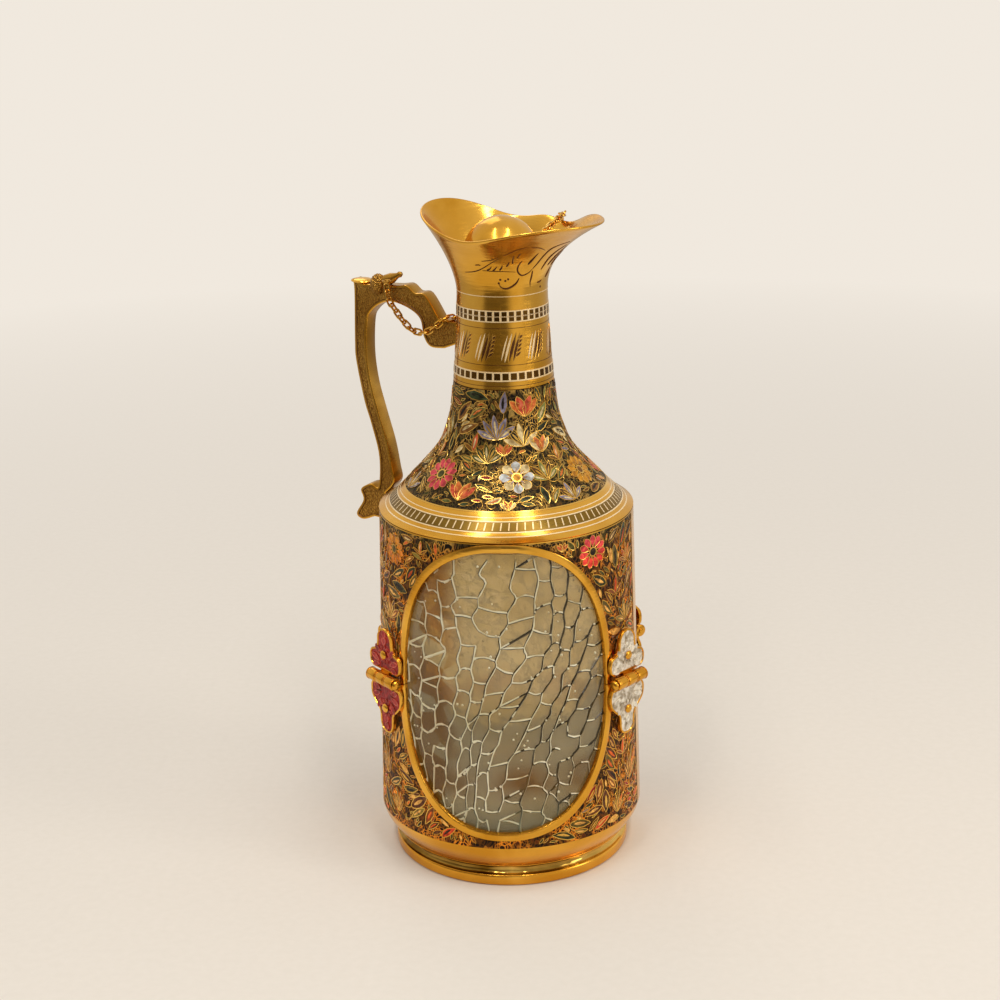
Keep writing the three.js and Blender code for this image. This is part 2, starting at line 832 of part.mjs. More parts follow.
// Chain path: from the eye on the arch in a swag, over the foot of the handle, round the back of
// the neck, up under the flare, over the rim and in to the eyelet of the ball.
const swagShares = [
  [0.624, 0.97],
  [0.616, 0.944],
  [0.588, 0.918],
  [0.542, 0.8965],
  [0.514, 0.8737],
  [0.4665, 0.8551],
  [0.4104, 0.8302],
  [0.3477, 0.822],
  [0.2897, 0.822],
  [0.2397, 0.8302],
  [0.1879, 0.846],
  [0.1404, 0.862],
];
const crossingShares = [
  [0.088, 0.885, 0.85],
  [0.054, 0.9, 0.42],
  [0.041, 0.903, 0],
  [0.045, 0.898, -0.5],
];
const neckRun = [
  [222, 0.35],
  [210, 0.37],
  [195, 0.423],
  [180, 0.51],
  [165, 0.62],
  [152, 0.742],
  [142, 0.86],
];
const rimRun = [
  [132, 1, 0],
  [129.5, 0.75, 0.9],
  [125.5, -0.5, 1.25],
  [121, -1.9, 1.1],
];

// A place beside the neck at a share of the way from its collar to its rim
function besideNeck(angle, share) {
  const reach = linkWidth / 2 + linkClear;
  const outside = mouthProfile(angle * degree);
  const z = mix(coneTop, outside.at(-1)[1], share);
  const path = inwards(outside, -reach);
  const i = Math.max(path.findIndex((point) => point[1] >= z), 1);
  const [low, high] = [path[i - 1], path[i]];
  return around(angle, mix(low[0], high[0], (z - low[1]) / (high[1] - low[1])), z);
}

function overRim(angle, outShare, upShare) {
  const [radius, level] = mouthProfile(angle * degree).at(-1);
  const reach = linkWidth / 2 + 2 * linkClear;
  return around(angle, radius + outShare * reach, level + upShare * reach);
}

function eyeletPlace() {
  const out = ballRadius + eyeletRadius + linkWire / 2 + seam;
  const lift = eyeletLift * degree;
  return around(eyeletAngle, out * Math.cos(lift), ballLevel + out * Math.sin(lift));
}

function chainCurve() {
  const crossing = ([out, level, off]) => onHandle([out, level], off * chainOff);
  return new THREE.CatmullRomCurve3([
    onHandle(eyeShares, chainOff),
    ...swagShares.map((shares) => onHandle(shares, chainOff)),
    ...crossingShares.map(crossing),
    ...neckRun.map(([angle, share]) => besideNeck(angle, share)),
    ...rimRun.map(([angle, outShare, upShare]) => overRim(angle, outShare, upShare)),
    eyeletPlace(),
  ]);
}

// Frames of the links: each has its length along the chain and is a quarter turn from the last.
function chainFrames() {
  const curve = chainCurve();
  const length = curve.getLength();
  const hook = (linkPitch - linkWire) / 2 + linkSlack / 2;
  const first = eyeRadius + hook;
  const last = length - eyeletRadius - hook;
  const spans = Math.round((last - first) / linkPitch);
  const frames = [];
  let side = handlePlace(0, 1, 0);
  for (let i = 0; i <= spans; i++) {
    const share = mix(first, last, i / spans) / length;
    const along = curve.getTangentAt(share);
    side.addScaledVector(along, -side.dot(along)).normalize();
    const across = i % 2 === 0 ? side.clone() : along.clone().cross(side);
    const matrix = new THREE.Matrix4().makeBasis(along, across, along.clone().cross(across));
    frames.push({ matrix: matrix.setPosition(curve.getPointAt(share)), across });
  }
  return frames;
}

function chainLink(matrix, inside) {
  const radius = (linkWidth - linkWire) / 2;
  const link = new THREE.TorusGeometry(radius, linkWire / 2, linkSides, linkSteps);
  link.rotateZ(Math.PI / linkSteps);
  const stretch = (inside + linkWire) / 2 - radius * Math.cos(Math.PI / linkSteps);
  const place = link.attributes.position;
  for (let i = 0; i < place.count; i++) {
    place.setX(i, place.getX(i) + Math.sign(place.getX(i)) * stretch);
  }
  return link.applyMatrix4(matrix);
}

// The run behind the neck is one piece; one link is left out of it where the stopper's links begin.
function buildChain() {
  const frames = chainFrames();
  const rearStart = swagLinks + wrapLinks;
  const rearEnd = frames.length - mouthLinks - 1;
  const runs = { swag: [0, swagLinks], wrap: [swagLinks, rearStart], mouth: [rearEnd + 1, frames.length] };
  for (const [run, [from, to]] of Object.entries(runs)) {
    for (let i = from; i < to; i++) {
      const link = chainLink(frames[i].matrix, linkPitch + linkSlack);
      addNode("chain_" + run + "_link_" + (i - from + 1), link, "brass");
    }
  }
  const rear = frames.slice(rearStart, rearEnd);
  const links = rear.map(({ matrix }) => chainLink(matrix, linkPitch - linkPinch));
  addNode("chain_rear_run", geometryOf(union(links)), "brass");
  const eyelet = new THREE.TorusGeometry(eyeletRadius, linkWire / 2, linkSides, linkSteps);
  const turn = new THREE.Quaternion().setFromUnitVectors(up, frames.at(-1).across);
  addNode("stopper_eyelet", eyelet.applyQuaternion(turn).translate(...eyeletPlace().toArray()), "brass");
}

buildFoot();
buildLiner();
buildCasing();
buildTrims();
buildShoulder();
buildNeck();
buildHandle();
buildHinges();
buildStopper();
buildChain();

export default group;
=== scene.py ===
import bisect
import itertools
import math
import random

import bmesh
import bpy
from mathutils import Matrix, Vector


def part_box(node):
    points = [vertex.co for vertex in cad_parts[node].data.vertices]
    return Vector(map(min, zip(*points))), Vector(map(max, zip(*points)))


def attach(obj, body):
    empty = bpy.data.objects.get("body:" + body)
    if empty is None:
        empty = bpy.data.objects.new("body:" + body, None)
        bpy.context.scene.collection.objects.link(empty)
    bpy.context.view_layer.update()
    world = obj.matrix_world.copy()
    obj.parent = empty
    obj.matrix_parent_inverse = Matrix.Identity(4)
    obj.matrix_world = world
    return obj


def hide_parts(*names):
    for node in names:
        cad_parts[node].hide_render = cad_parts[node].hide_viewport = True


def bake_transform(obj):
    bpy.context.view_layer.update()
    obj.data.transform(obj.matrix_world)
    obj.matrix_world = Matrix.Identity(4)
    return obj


# Brass-cased glass pitcher with enamelled flowers, butterfly hinges and a ball stopper on a chain.
# Pieces are made in millimetres, +Z up, front window towards -Y, and brought to metres when finished.

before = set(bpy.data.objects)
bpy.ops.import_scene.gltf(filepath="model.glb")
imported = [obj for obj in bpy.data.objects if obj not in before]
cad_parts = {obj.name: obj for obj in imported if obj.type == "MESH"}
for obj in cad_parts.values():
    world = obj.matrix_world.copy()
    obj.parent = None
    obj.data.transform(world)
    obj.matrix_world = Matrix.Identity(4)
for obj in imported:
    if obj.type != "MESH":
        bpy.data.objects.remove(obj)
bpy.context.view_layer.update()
random.seed(11)

METRE = 0.001
AROUND = 144


def mix(start, end, share):
    return start + (end - start) * share


def reading(table):
    levels = [level for level, _ in table]

    def value(level):
        i = min(max(bisect.bisect_right(levels, level), 1), len(levels) - 1)
        (low, at_low), (high, at_high) = table[i - 1], table[i]
        return mix(at_low, at_high, min(1, max(0, (level - low) / (high - low))))

    return value


def curve_through(points, steps, closed=False):
    """A smooth line through points, with a number of steps from each to the next."""
    count = len(points)
    line = []
    for i in range(count if closed else count - 1):
        near = [(i + k) % count if closed else min(max(i + k, 0), count - 1) for k in (-1, 0, 1, 2)]
        p0, p1, p2, p3 = (Vector(points[k]) for k in near)
        square, cube = 2 * p0 - 5 * p1 + 4 * p2 - p3, 3 * p1 - p0 - 3 * p2 + p3
        for k in range(steps):
            t = k / steps
            line.append(0.5 * (2 * p1 + (p2 - p0) * t + square * t**2 + cube * t**3))
    if not closed:
        line.append(Vector(points[-1]))
    return line


def shown(name, data):
    """A new object in the scene."""
    made = bpy.data.objects.new(name, data)
    bpy.context.scene.collection.objects.link(made)
    return made


# Shader building


OUTPUT_KINDS = {"Color": "NodeSocketColor", "Normal": "NodeSocketVector"}


def group(name, inputs, outputs):
    """A node group. A tuple among the inputs makes a colour socket, and a number makes a value socket."""
    tree = bpy.data.node_groups.new(name, "ShaderNodeTree")
    for label, value in inputs.items():
        kind = "NodeSocketColor" if isinstance(value, tuple) else "NodeSocketFloat"
        tree.interface.new_socket(label, in_out="INPUT", socket_type=kind).default_value = value
    for label in outputs:
        kind = OUTPUT_KINDS.get(label, "NodeSocketFloat")
        tree.interface.new_socket(label, in_out="OUTPUT", socket_type=kind)
    return tree, tree.nodes.new("NodeGroupInput").outputs, tree.nodes.new("NodeGroupOutput").inputs


def use_group(tree, name):
    node = tree.nodes.new("ShaderNodeGroup")
    node.node_tree = bpy.data.node_groups[name]
    return node


def new_material(name):
    made = bpy.data.materials.new(name)
    made.use_nodes = True
    return made, made.node_tree, made.node_tree.nodes["Principled BSDF"]


def put(tree, value, socket):
    """A socket is linked, a plain value is set."""
    if isinstance(value, bpy.types.NodeSocket):
        tree.links.new(value, socket)
    else:
        socket.default_value = value


def maths(tree, operation, first, second=0.0):
    node = tree.nodes.new("ShaderNodeMath")
    node.operation = operation
    put(tree, first, node.inputs[0])
    put(tree, second, node.inputs[1])
    return node.outputs[0]


def times(tree, first, second):
    return maths(tree, "MULTIPLY", first, second)


def blend_of(tree, factor, first, second, way="MIX"):
    node = tree.nodes.new("ShaderNodeMix")
    node.data_type = "RGBA"
    node.blend_type = way
    put(tree, factor, node.inputs[0])
    put(tree, first, node.inputs[6])
    put(tree, second, node.inputs[7])
    return node.outputs[2]


def remap(tree, value, low, high, to_low=0.0, to_high=1.0):
    node = tree.nodes.new("ShaderNodeMapRange")
    put(tree, value, node.inputs[0])
    for i, number in enumerate((low, high, to_low, to_high)):
        node.inputs[i + 1].default_value = number
    return node.outputs[0]


def between(tree, value, rise, fall):
    """1 between two soft edges, each given by where it starts and where it ends."""
    return times(tree, remap(tree, value, *rise), remap(tree, value, *fall, 1.0, 0.0))


def noise(tree, where, scale, detail=3.0, distortion=0.0):
    """Cloudy noise, as a value from 0 to 1."""
    node = tree.nodes.new("ShaderNodeTexNoise")
    put(tree, where, node.inputs["Vector"])
    put(tree, scale, node.inputs["Scale"])
    node.inputs["Detail"].default_value = detail
    node.inputs["Distortion"].default_value = distortion
    return node.outputs["Fac"]


def cells(tree, where, scale, feature="F1"):
    node = tree.nodes.new("ShaderNodeTexVoronoi")
    node.feature = feature
    put(tree, where, node.inputs["Vector"])
    put(tree, scale, node.inputs["Scale"])
    return node.outputs


def stepped(tree, value, stops):
    """A palette: each stop is (place, colour), held until the next."""
    node = tree.nodes.new("ShaderNodeValToRGB")
    put(tree, value, node.inputs[0])
    ramp = node.color_ramp
    ramp.interpolation = "CONSTANT"
    ramp.elements[0].color = stops[0][1]
    ramp.elements[1].position, ramp.elements[1].color = stops[1]
    for place, colour in stops[2:]:
        ramp.elements.new(place).color = colour
    return node.outputs[0]


def bumped(tree, height, strength, distance, under=None):
    node = tree.nodes.new("ShaderNodeBump")
    put(tree, height, node.inputs["Height"])
    put(tree, strength, node.inputs["Strength"])
    node.inputs["Distance"].default_value = distance
    if under:
        put(tree, under, node.inputs["Normal"])
    return node.outputs[0]


def object_place(tree):
    return tree.nodes.new("ShaderNodeTexCoord").outputs["Object"]


def parts_of(tree, place):
    """The x, y and z of a place."""
    node = tree.nodes.new("ShaderNodeSeparateXYZ")
    put(tree, place, node.inputs[0])
    return node.outputs


def first_part(tree, tone):
    """The first channel of a random colour, as a value to choose by."""
    node = tree.nodes.new("ShaderNodeSeparateColor")
    put(tree, tone, node.inputs[0])
    return node.outputs[0]


def turn_of(tree, x, y):
    """The angle round the upright axis in radians, 0 at the front."""
    return maths(tree, "ARCTAN2", x, times(tree, y, -1.0))


def colour(red, green, blue):
    """A colour as it is seen, 0 to 255, as the shader wants it."""
    return (*(pow(part / 255, 2.2) for part in (red, green, blue)), 1.0)


WHITE = (1, 1, 1, 1)
BLACK = (0, 0, 0, 1)
# Painted warm light: below the shoulder the brass, the ground and the enamel are multiplied by these tints,
# a painted reflection of a warm room on the body.
WARM_LEVELS = (0.138, 0.128)
WARM_BRASS = (1.0, 0.93, 0.78, 1)
WARM_GROUND = (1.7, 0.95, 0.35, 1)
WARM_ENAMEL = (1.35, 0.88, 0.4, 1)
WARM_LEAF = (1.0, 0.96, 0.86, 1)


def painted_warm_reflection():
    """A colour made warmer on the body, below the shoulder, than on the cone and the neck: painted warm
    light and a painted warm reflection of the room.
    """
    tree, given, result = group("painted_warm_reflection", {"Color": WHITE, "Warm": WHITE}, ["Color"])
    low = remap(tree, parts_of(tree, object_place(tree))[2], *WARM_LEVELS)
    put(tree, blend_of(tree, low, given["Color"], given["Warm"], "MULTIPLY"), result["Color"])


def with_painted_warmth(tree, tone, warm):
    node = use_group(tree, "painted_warm_reflection")
    put(tree, tone, node.inputs["Color"])
    put(tree, warm, node.inputs["Warm"])
    return node.outputs[0]


def turning_marks():
    """Fine rings left by the lathe and the polishing wheel, round the upright axis."""
    tree, given, result = group("turning_marks", {"Pitch": 900.0}, ["Mark"])
    x, y, z = parts_of(tree, object_place(tree))
    out = maths(tree, "SQRT", maths(tree, "ADD", times(tree, x, x), times(tree, y, y)))
    turn = maths(tree, "ARCTAN2", x, y)
    ring = tree.nodes.new("ShaderNodeCombineXYZ")
    put(tree, times(tree, out, given["Pitch"]), ring.inputs[0])
    put(tree, times(tree, turn, 1.5), ring.inputs[1])
    put(tree, times(tree, z, given["Pitch"]), ring.inputs[2])
    put(tree, noise(tree, ring.outputs[0], 1.0, 2.0), result["Mark"])


def brass_surface():
    """Handled brass: cloudy tone, small dents from planishing, and a fine grain or turning marks."""
    usual = {
        "Light": colour(241, 187, 84),
        "Deep": colour(210, 152, 52),
        "Gloss Loss": 0.24,
        "Marks": 0.12,
        "Dents": 0.1,
    }
    tree, given, result = group("brass_surface", usual, ["Color", "Roughness", "Normal"])
    place = object_place(tree)
    cloud = noise(tree, place, 38.0, 4.0, 0.4)
    speck = noise(tree, place, 900.0, 2.0)
    marks = use_group(tree, "turning_marks").outputs[0]
    tone = blend_of(tree, remap(tree, cloud, 0.35, 0.68), given["Deep"], given["Light"])
    tone = blend_of(tree, remap(tree, speck, 0.62, 0.8, 0.0, 0.25), tone, given["Deep"])
    # The tone takes the painted warm reflection below the shoulder.
    put(tree, with_painted_warmth(tree, tone, WARM_BRASS), result["Color"])
    rough = maths(tree, "ADD", given["Gloss Loss"], remap(tree, cloud, 0.3, 0.7, 0.05, -0.05))
    rough = maths(tree, "ADD", rough, remap(tree, marks, 0.3, 0.7, -0.03, 0.05))
    put(tree, rough, result["Roughness"])
    dented = bumped(tree, noise(tree, place, 120.0, 1.0), given["Dents"], 0.0012)
    put(tree, bumped(tree, marks, given["Marks"], 0.00012, dented), result["Normal"])


def enamel_surface():
    """Fired enamel between metal lines: mottled depth of colour, pinholes and a soft gloss."""
    # Below is the tint of the painted warm light below the shoulder.
    usual = {"Enamel": (0.5, 0.1, 0.1, 1), "Mottle": 0.25, "Below": WARM_ENAMEL}
    tree, given, result = group("enamel_surface", usual, ["Color", "Roughness", "Normal"])
    place = object_place(tree)
    depth = noise(tree, place, 420.0, 3.0, 0.6)
    pits = noise(tree, place, 1500.0, 1.0)
    dark = blend_of(tree, 1.0, given["Enamel"], (0.42, 0.36, 0.28, 1), "MULTIPLY")
    pale = blend_of(tree, 0.35, given["Enamel"], (0.85, 0.74, 0.5, 1))
    shade = blend_of(tree, remap(tree, depth, 0.35, 0.6), dark, given["Enamel"])
    mottle = times(tree, remap(tree, depth, 0.55, 0.75), given["Mottle"])
    tone = blend_of(tree, mottle, shade, pale)
    # The enamel takes the painted warm light below the shoulder.
    put(tree, with_painted_warmth(tree, tone, given["Below"]), result["Color"])
    put(tree, remap(tree, pits, 0.3, 0.7, 0.28, 0.5), result["Roughness"])
    put(tree, bumped(tree, maths(tree, "ADD", depth, pits), 0.35, 0.0003), result["Normal"])


GROUND_FILLS = [
    (0.0, colour(26, 20, 11)),
    (0.5, colour(42, 34, 16)),
    (0.72, colour(66, 62, 28)),
    (0.84, colour(76, 50, 22)),
    (0.95, colour(150, 122, 66)),
]


def filigree_ground():
    """The cut ground between the flowers: dark and coloured cells between fine bright metal lines."""
    outputs = ["Color", "Metal", "Roughness", "Normal"]
    tree, given, result = group("filigree_ground", {"Cell": 900.0, "Line": 0.09}, outputs)
    place = object_place(tree)
    wander = tree.nodes.new("ShaderNodeTexNoise")
    put(tree, place, wander.inputs["Vector"])
    wander.inputs["Scale"].default_value = 160.0
    wander.inputs["Detail"].default_value = 1.0
    sway = tree.nodes.new("ShaderNodeVectorMath")
    sway.operation = "MULTIPLY_ADD"
    put(tree, wander.outputs["Color"], sway.inputs[0])
    sway.inputs[1].default_value = (0.006, 0.006, 0.009)
    put(tree, place, sway.inputs[2])
    tall = tree.nodes.new("ShaderNodeMapping")
    tall.inputs["Scale"].default_value = (1.0, 1.0, 0.55)
    put(tree, sway.outputs[0], tall.inputs[0])
    edge = cells(tree, tall.outputs[0], given["Cell"], "DISTANCE_TO_EDGE")["Distance"]
    pick = first_part(tree, cells(tree, tall.outputs[0], given["Cell"])["Color"])
    fills = stepped(tree, pick, GROUND_FILLS)
    tone = noise(tree, place, 700.0, 2.0)
    fills = blend_of(tree, remap(tree, tone, 0.3, 0.7, 0.35, 0.0), fills, colour(20, 17, 10))
    line = remap(tree, maths(tree, "SUBTRACT", given["Line"], edge), -0.05, 0.05)
    patch = remap(tree, noise(tree, place, 150.0, 1.0), 0.46, 0.6, 0.1, 0.9)
    line = times(tree, line, patch)
    tone = blend_of(tree, line, fills, colour(204, 160, 82))
    # The ground takes the painted warm light below the shoulder.
    put(tree, with_painted_warmth(tree, tone, WARM_GROUND), result["Color"])
    put(tree, line, result["Metal"])
    put(tree, remap(tree, line, 0.0, 1.0, 0.45, 0.27), result["Roughness"])
    put(tree, bumped(tree, line, 0.8, 0.00022), result["Normal"])


def brown_glass():
    """Where the glass shows brown: in patches down the left of each window and in a band near the foot."""
    tree, given, result = group("brown_glass", {"Strength": 1.0}, ["Mask"])
    place = object_place(tree)
    x, y, z = parts_of(tree, place)
    left = between(tree, turn_of(tree, x, y), (-0.86, -0.72), (-0.5, -0.3))
    band = between(tree, z, (0.036, 0.043), (0.047, 0.053))
    pick = first_part(tree, cells(tree, place, 115.0)["Color"])
    patch = times(tree, left, remap(tree, pick, 0.4, 0.5))
    streak = times(tree, band, remap(tree, noise(tree, place, 60.0, 2.0), 0.38, 0.6, 0.2, 1.0))
    put(tree, times(tree, maths(tree, "MAXIMUM", patch, streak), given["Strength"]), result["Mask"])


for pattern in (painted_warm_reflection, turning_marks, brass_surface, enamel_surface, filigree_ground, brown_glass):
    pattern()


def finish(name, pattern, values, **plain):
    """A material with colour, gloss and relief from a surface pattern, and plain numbers on the shader."""
    made, tree, shader = new_material(name)
    surface = use_group(tree, pattern)
    for label, value in values.items():
        put(tree, value, surface.inputs[label])
    for socket in surface.outputs:
        target = {"Color": "Base Color", "Metal": "Metallic"}.get(socket.name, socket.name)
        tree.links.new(socket, shader.inputs[target])
    for label, value in plain.items():
        shader.inputs[label.replace("_", " ")].default_value = value
    return made


def brass(name, loss, light=None, deep=None, metallic=1.0, **relief):
    """Brass with its loss of gloss and, where they aren't the usual ones, its light and its deep tone."""
    values = {"Gloss Loss": loss, **relief}
    for label, tone in (("Light", light), ("Deep", deep)):
        if tone:
            values[label] = colour(*tone)
    return finish(name, "brass_surface", values, Metallic=metallic)


satin_brass = brass("satin_brass", 0.18, Marks=0.5)
bright_brass = brass("bright_brass", 0.12, Marks=0.08, Dents=0.05)
cast_brass = brass("cast_brass", 0.27, (202, 156, 72), (150, 106, 38), Marks=0.05, Dents=0.45)
chain_brass = brass("chain_brass", 0.16, (230, 192, 112), Dents=0.3)
gilt_line = brass("gilt_line", 0.22, (240, 198, 108), (206, 154, 64))
cut_line = brass("cut_line", 0.4, (122, 74, 22), (78, 42, 12), 0.6)
pale_line = brass("pale_line", 0.3, (252, 230, 190), (236, 204, 150), 0.35)
# Darker brass for the recessed cells of the ladders: painted shade of the recess on plain brass.
dark_cell = brass("dark_cell", 0.3, (150, 120, 58), (98, 74, 32))
neck_cell = brass("neck_cell", 0.26, (132, 96, 42), (84, 58, 24))
ball_brass = brass("ball_brass", 0.17, Marks=0.06, Dents=0.5)
# The polished hollow of the foot: a pale and a very dark tone in cloudy patches, painted highlights and
# painted dark reflections on plain brass.
hollow_brass = brass("hollow_brass", 0.08, (232, 196, 112), (116, 88, 34), Dents=0.6)
cut_ground = finish("cut_ground", "filigree_ground", {}, Specular_IOR_Level=0.12)

ENAMELS = {
    "olive": (94, 94, 42),
    "leaf_green": (136, 136, 68),
    "moss": (54, 64, 36),
    "cream": (228, 204, 148),
    "lavender": (140, 132, 154),
    "sky": (200, 202, 202),
    "orange": (216, 112, 50),
    "coral": (208, 84, 54),
    "red": (150, 26, 22),
    "pink": (230, 80, 92),
    "yellow": (218, 148, 26),
    "bronze": (136, 90, 34),
    "umber": (90, 58, 24),
    "night": (36, 28, 16),
}


def flower_enamel(name, tint):
    plain = {"Metallic": 0.1, "Specular_IOR_Level": 0.22, "Coat_Weight": 0.04, "Coat_Roughness": 0.15}
    return finish("enamel_" + name, "enamel_surface", {"Enamel": colour(*tint)}, **plain)


inlay_materials = [gilt_line, *(flower_enamel(*enamel) for enamel in ENAMELS.items())]
INLAY = {name: i + 1 for i, name in enumerate(ENAMELS)}
GILT = 0


def recoloured(made, factor, tone, over):
    """Lays a second colour over or under a material's own, and hands back its shader."""
    tree = made.node_tree
    shader = tree.nodes["Principled BSDF"]
    own = shader.inputs["Base Color"].links[0].from_socket
    first, second = (own, tone) if over else (tone, own)
    put(tree, blend_of(tree, factor, first, second), shader.inputs["Base Color"])
    return shader


def chased_finish():
    """Dull brass chased all over with small slanting strokes, as on the sides of the handle."""
    made = brass("chased_brass", 0.34, (216, 168, 84), (166, 122, 54))
    tree = made.node_tree
    slant = tree.nodes.new("ShaderNodeMapping")
    slant.inputs["Scale"].default_value = (1.0, 1.0, 0.45)
    slant.inputs["Rotation"].default_value = (0.5, 0.4, 0.0)
    put(tree, object_place(tree), slant.inputs[0])
    edge = cells(tree, slant.outputs[0], 1700.0, "DISTANCE_TO_EDGE")["Distance"]
    strokes = remap(tree, edge, 0.02, 0.2)
    shader = recoloured(made, strokes, colour(132, 90, 36), False)
    put(tree, bumped(tree, strokes, 0.5, 0.0003), shader.inputs["Normal"])
    return made


chased_brass = chased_finish()


def hinge_enamel(name, tint, fleck_tint):
    """Thick enamel on a cast leaf, with darker flecks in it."""
    # The hinge leaves take a weaker painted warm light.
    values = {"Enamel": colour(*tint), "Mottle": 0.2, "Below": WARM_LEAF}
    plain = {"Metallic": 0.1, "Specular_IOR_Level": 0.3, "Coat_Weight": 0.15, "Coat_Roughness": 0.12}
    made = finish(name, "enamel_surface", values, **plain)
    tree = made.node_tree
    spots = cells(tree, object_place(tree), 620.0)["Distance"]
    fleck = remap(tree, spots, 0.12, 0.2, 1.0, 0.0)
    shader = recoloured(made, fleck, colour(*fleck_tint), True)
    relief = noise(tree, object_place(tree), 330.0, 2.0, 1.2)
    put(tree, bumped(tree, relief, 0.7, 0.0009), shader.inputs["Normal"])
    return made


red_leaf_enamel = hinge_enamel("red_leaf_enamel", (176, 24, 26), (120, 10, 12))
red_petal_edge = hinge_enamel("red_petal_edge", (224, 104, 90), (190, 48, 44))
white_leaf_enamel = hinge_enamel("white_leaf_enamel", (244, 240, 234), (200, 178, 146))
white_petal_edge = hinge_enamel("white_petal_edge", (250, 244, 232), (232, 216, 190))


def glass_finish(name, tint, cloud, passing, brown):
    """Old tinted glass with seeds, a slow ripple and a little milk in it."""
    made, tree, shader = new_material(name)
    place = object_place(tree)
    haze = noise(tree, place, 55.0, 3.0, 0.5)
    patches = use_group(tree, "brown_glass")
    patches.inputs["Strength"].default_value = brown
    tone = blend_of(tree, remap(tree, haze, 0.3, 0.7), colour(*tint), colour(*cloud))
    tone = blend_of(tree, patches.outputs[0], tone, colour(186, 132, 44))
    foot = remap(tree, parts_of(tree, place)[2], 0.024, 0.036, 0.6, 0.0)
    put(tree, blend_of(tree, foot, tone, colour(160, 168, 138)), shader.inputs["Base Color"])
    ripple = noise(tree, place, 150.0, 2.0)
    seeds = remap(tree, cells(tree, place, 170.0)["Distance"], 0.04, 0.1, 1.0, 0.0)
    put(tree, bumped(tree, maths(tree, "ADD", ripple, seeds), 0.5, 0.0008), shader.inputs["Normal"])
    put(tree, remap(tree, haze, 0.3, 0.7, 0.06, 0.14), shader.inputs["Roughness"])
    shader.inputs["Transmission Weight"].default_value = passing
    shader.inputs["IOR"].default_value = 1.45
    return made


liner_glass = glass_finish("liner_glass", (244, 226, 180), (222, 198, 142), 0.8, 0.95)
# Lit and shaded copies of the ridge glass: a painted highlight on the side of a ridge towards the light,
# painted shade on the other side.
lit_ridge_glass = glass_finish("lit_ridge_glass", (248, 240, 208), (222, 210, 168), 0.2, 0.2)
shaded_ridge_glass = glass_finish("shaded_ridge_glass", (70, 56, 28), (46, 38, 20), 0.2, 0.2)


def cork_finish():
    made, tree, shader = new_material("cork_bark")
    place = object_place(tree)
    grain = noise(tree, place, 500.0, 5.0, 0.8)
    pores = remap(tree, cells(tree, place, 330.0)["Distance"], 0.1, 0.3, 1.0, 0.0)
    bark = blend_of(tree, remap(tree, grain, 0.35, 0.65), colour(150, 104, 62), colour(202, 158, 108))
    put(tree, blend_of(tree, pores, bark, colour(86, 54, 32)), shader.inputs["Base Color"])
    put(tree, bumped(tree, maths(tree, "SUBTRACT", grain, pores), 0.6, 0.0005), shader.inputs["Normal"])
    shader.inputs["Roughness"].default_value = 0.85
    return made


cork_bark = cork_finish()


# Piece building


def finished(bm, name, body, materials, replaced=(), sharp=35.0, outwards=True):
    """Brings a piece to metres, shades it and lets it ride with its body."""
    bmesh.ops.scale(bm, vec=(METRE, METRE, METRE), verts=bm.verts)
    if outwards:
        bmesh.ops.recalc_face_normals(bm, faces=bm.faces)
    mesh = bpy.data.meshes.new(name)
    bm.to_mesh(mesh)
    bm.free()
    for item in materials:
        mesh.materials.append(item)
    mesh.shade_smooth()
    mesh.set_sharp_from_angle(angle=math.radians(sharp))
    piece = shown(name, mesh)
    if body:
        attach(piece, body)
    if replaced:
        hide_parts(*replaced)
    return piece


def paint(bm, chosen, index):
    for face in bm.faces:
        if chosen(face.calc_center_median(), face.normal):
            face.material_index = index


def facing_in(at, out):
    """True for a face whose outer side looks towards the upright axis."""
    return at.x * out.x + at.y * out.y < 0


def join(bm, other, index=None):
    """Adds the work in another piece to this one, all in one material where an index is given."""
    if index is not None:
        paint(other, lambda at, out: True, index)
    mesh = bpy.data.meshes.new("passing")
    other.to_mesh(mesh)
    other.free()
    bm.from_mesh(mesh)
    bpy.data.meshes.remove(mesh)


def move(bm, vec):
    bmesh.ops.translate(bm, vec=vec, verts=bm.verts)


def rotate(bm, angle, axis):
    bmesh.ops.rotate(bm, cent=(0, 0, 0), matrix=Matrix.Rotation(angle, 3, axis), verts=bm.verts)


def soften(bm, edges, offset, clamp=False):
    """A small round on the given edges."""
    how = {"offset_type": "OFFSET", "segments": 2, "profile": 0.5, "affect": "EDGES", "material": -1}
    bmesh.ops.bevel(bm, geom=edges, offset=offset, clamp_overlap=clamp, **how)


def plate(points, thickness):
    """A flat outline made thick by a shift along y."""
    bm = bmesh.new()
    face = bm.faces.new([bm.verts.new(point) for point in points])
    raised = bmesh.ops.extrude_face_region(bm, geom=[face])["geom"]
    far = [item for item in raised if isinstance(item, bmesh.types.BMVert)]
    bmesh.ops.translate(bm, vec=(0, thickness, 0), verts=far)
    bmesh.ops.recalc_face_normals(bm, faces=bm.faces)
    return bm


def cut_level(bm, level, clear_above, clear_below):
    """Cuts a closed piece at a level, drops one side and closes the cut."""
    how = {"plane_co": (0, 0, level), "plane_no": (0, 0, 1)}
    geom = bm.verts[:] + bm.edges[:] + bm.faces[:]
    bmesh.ops.bisect_plane(bm, geom=geom, clear_outer=clear_above, clear_inner=clear_below, **how)
    bmesh.ops.holes_fill(bm, edges=[edge for edge in bm.edges if edge.is_boundary], sides=0)


def spin(bm, steps):
    """Spins all points and edges once round the upright axis."""
    how = {"cent": (0, 0, 0), "axis": (0, 0, 1), "angle": 2 * math.pi, "use_merge": True}
    bmesh.ops.spin(bm, geom=bm.verts[:] + bm.edges[:], steps=steps, **how)


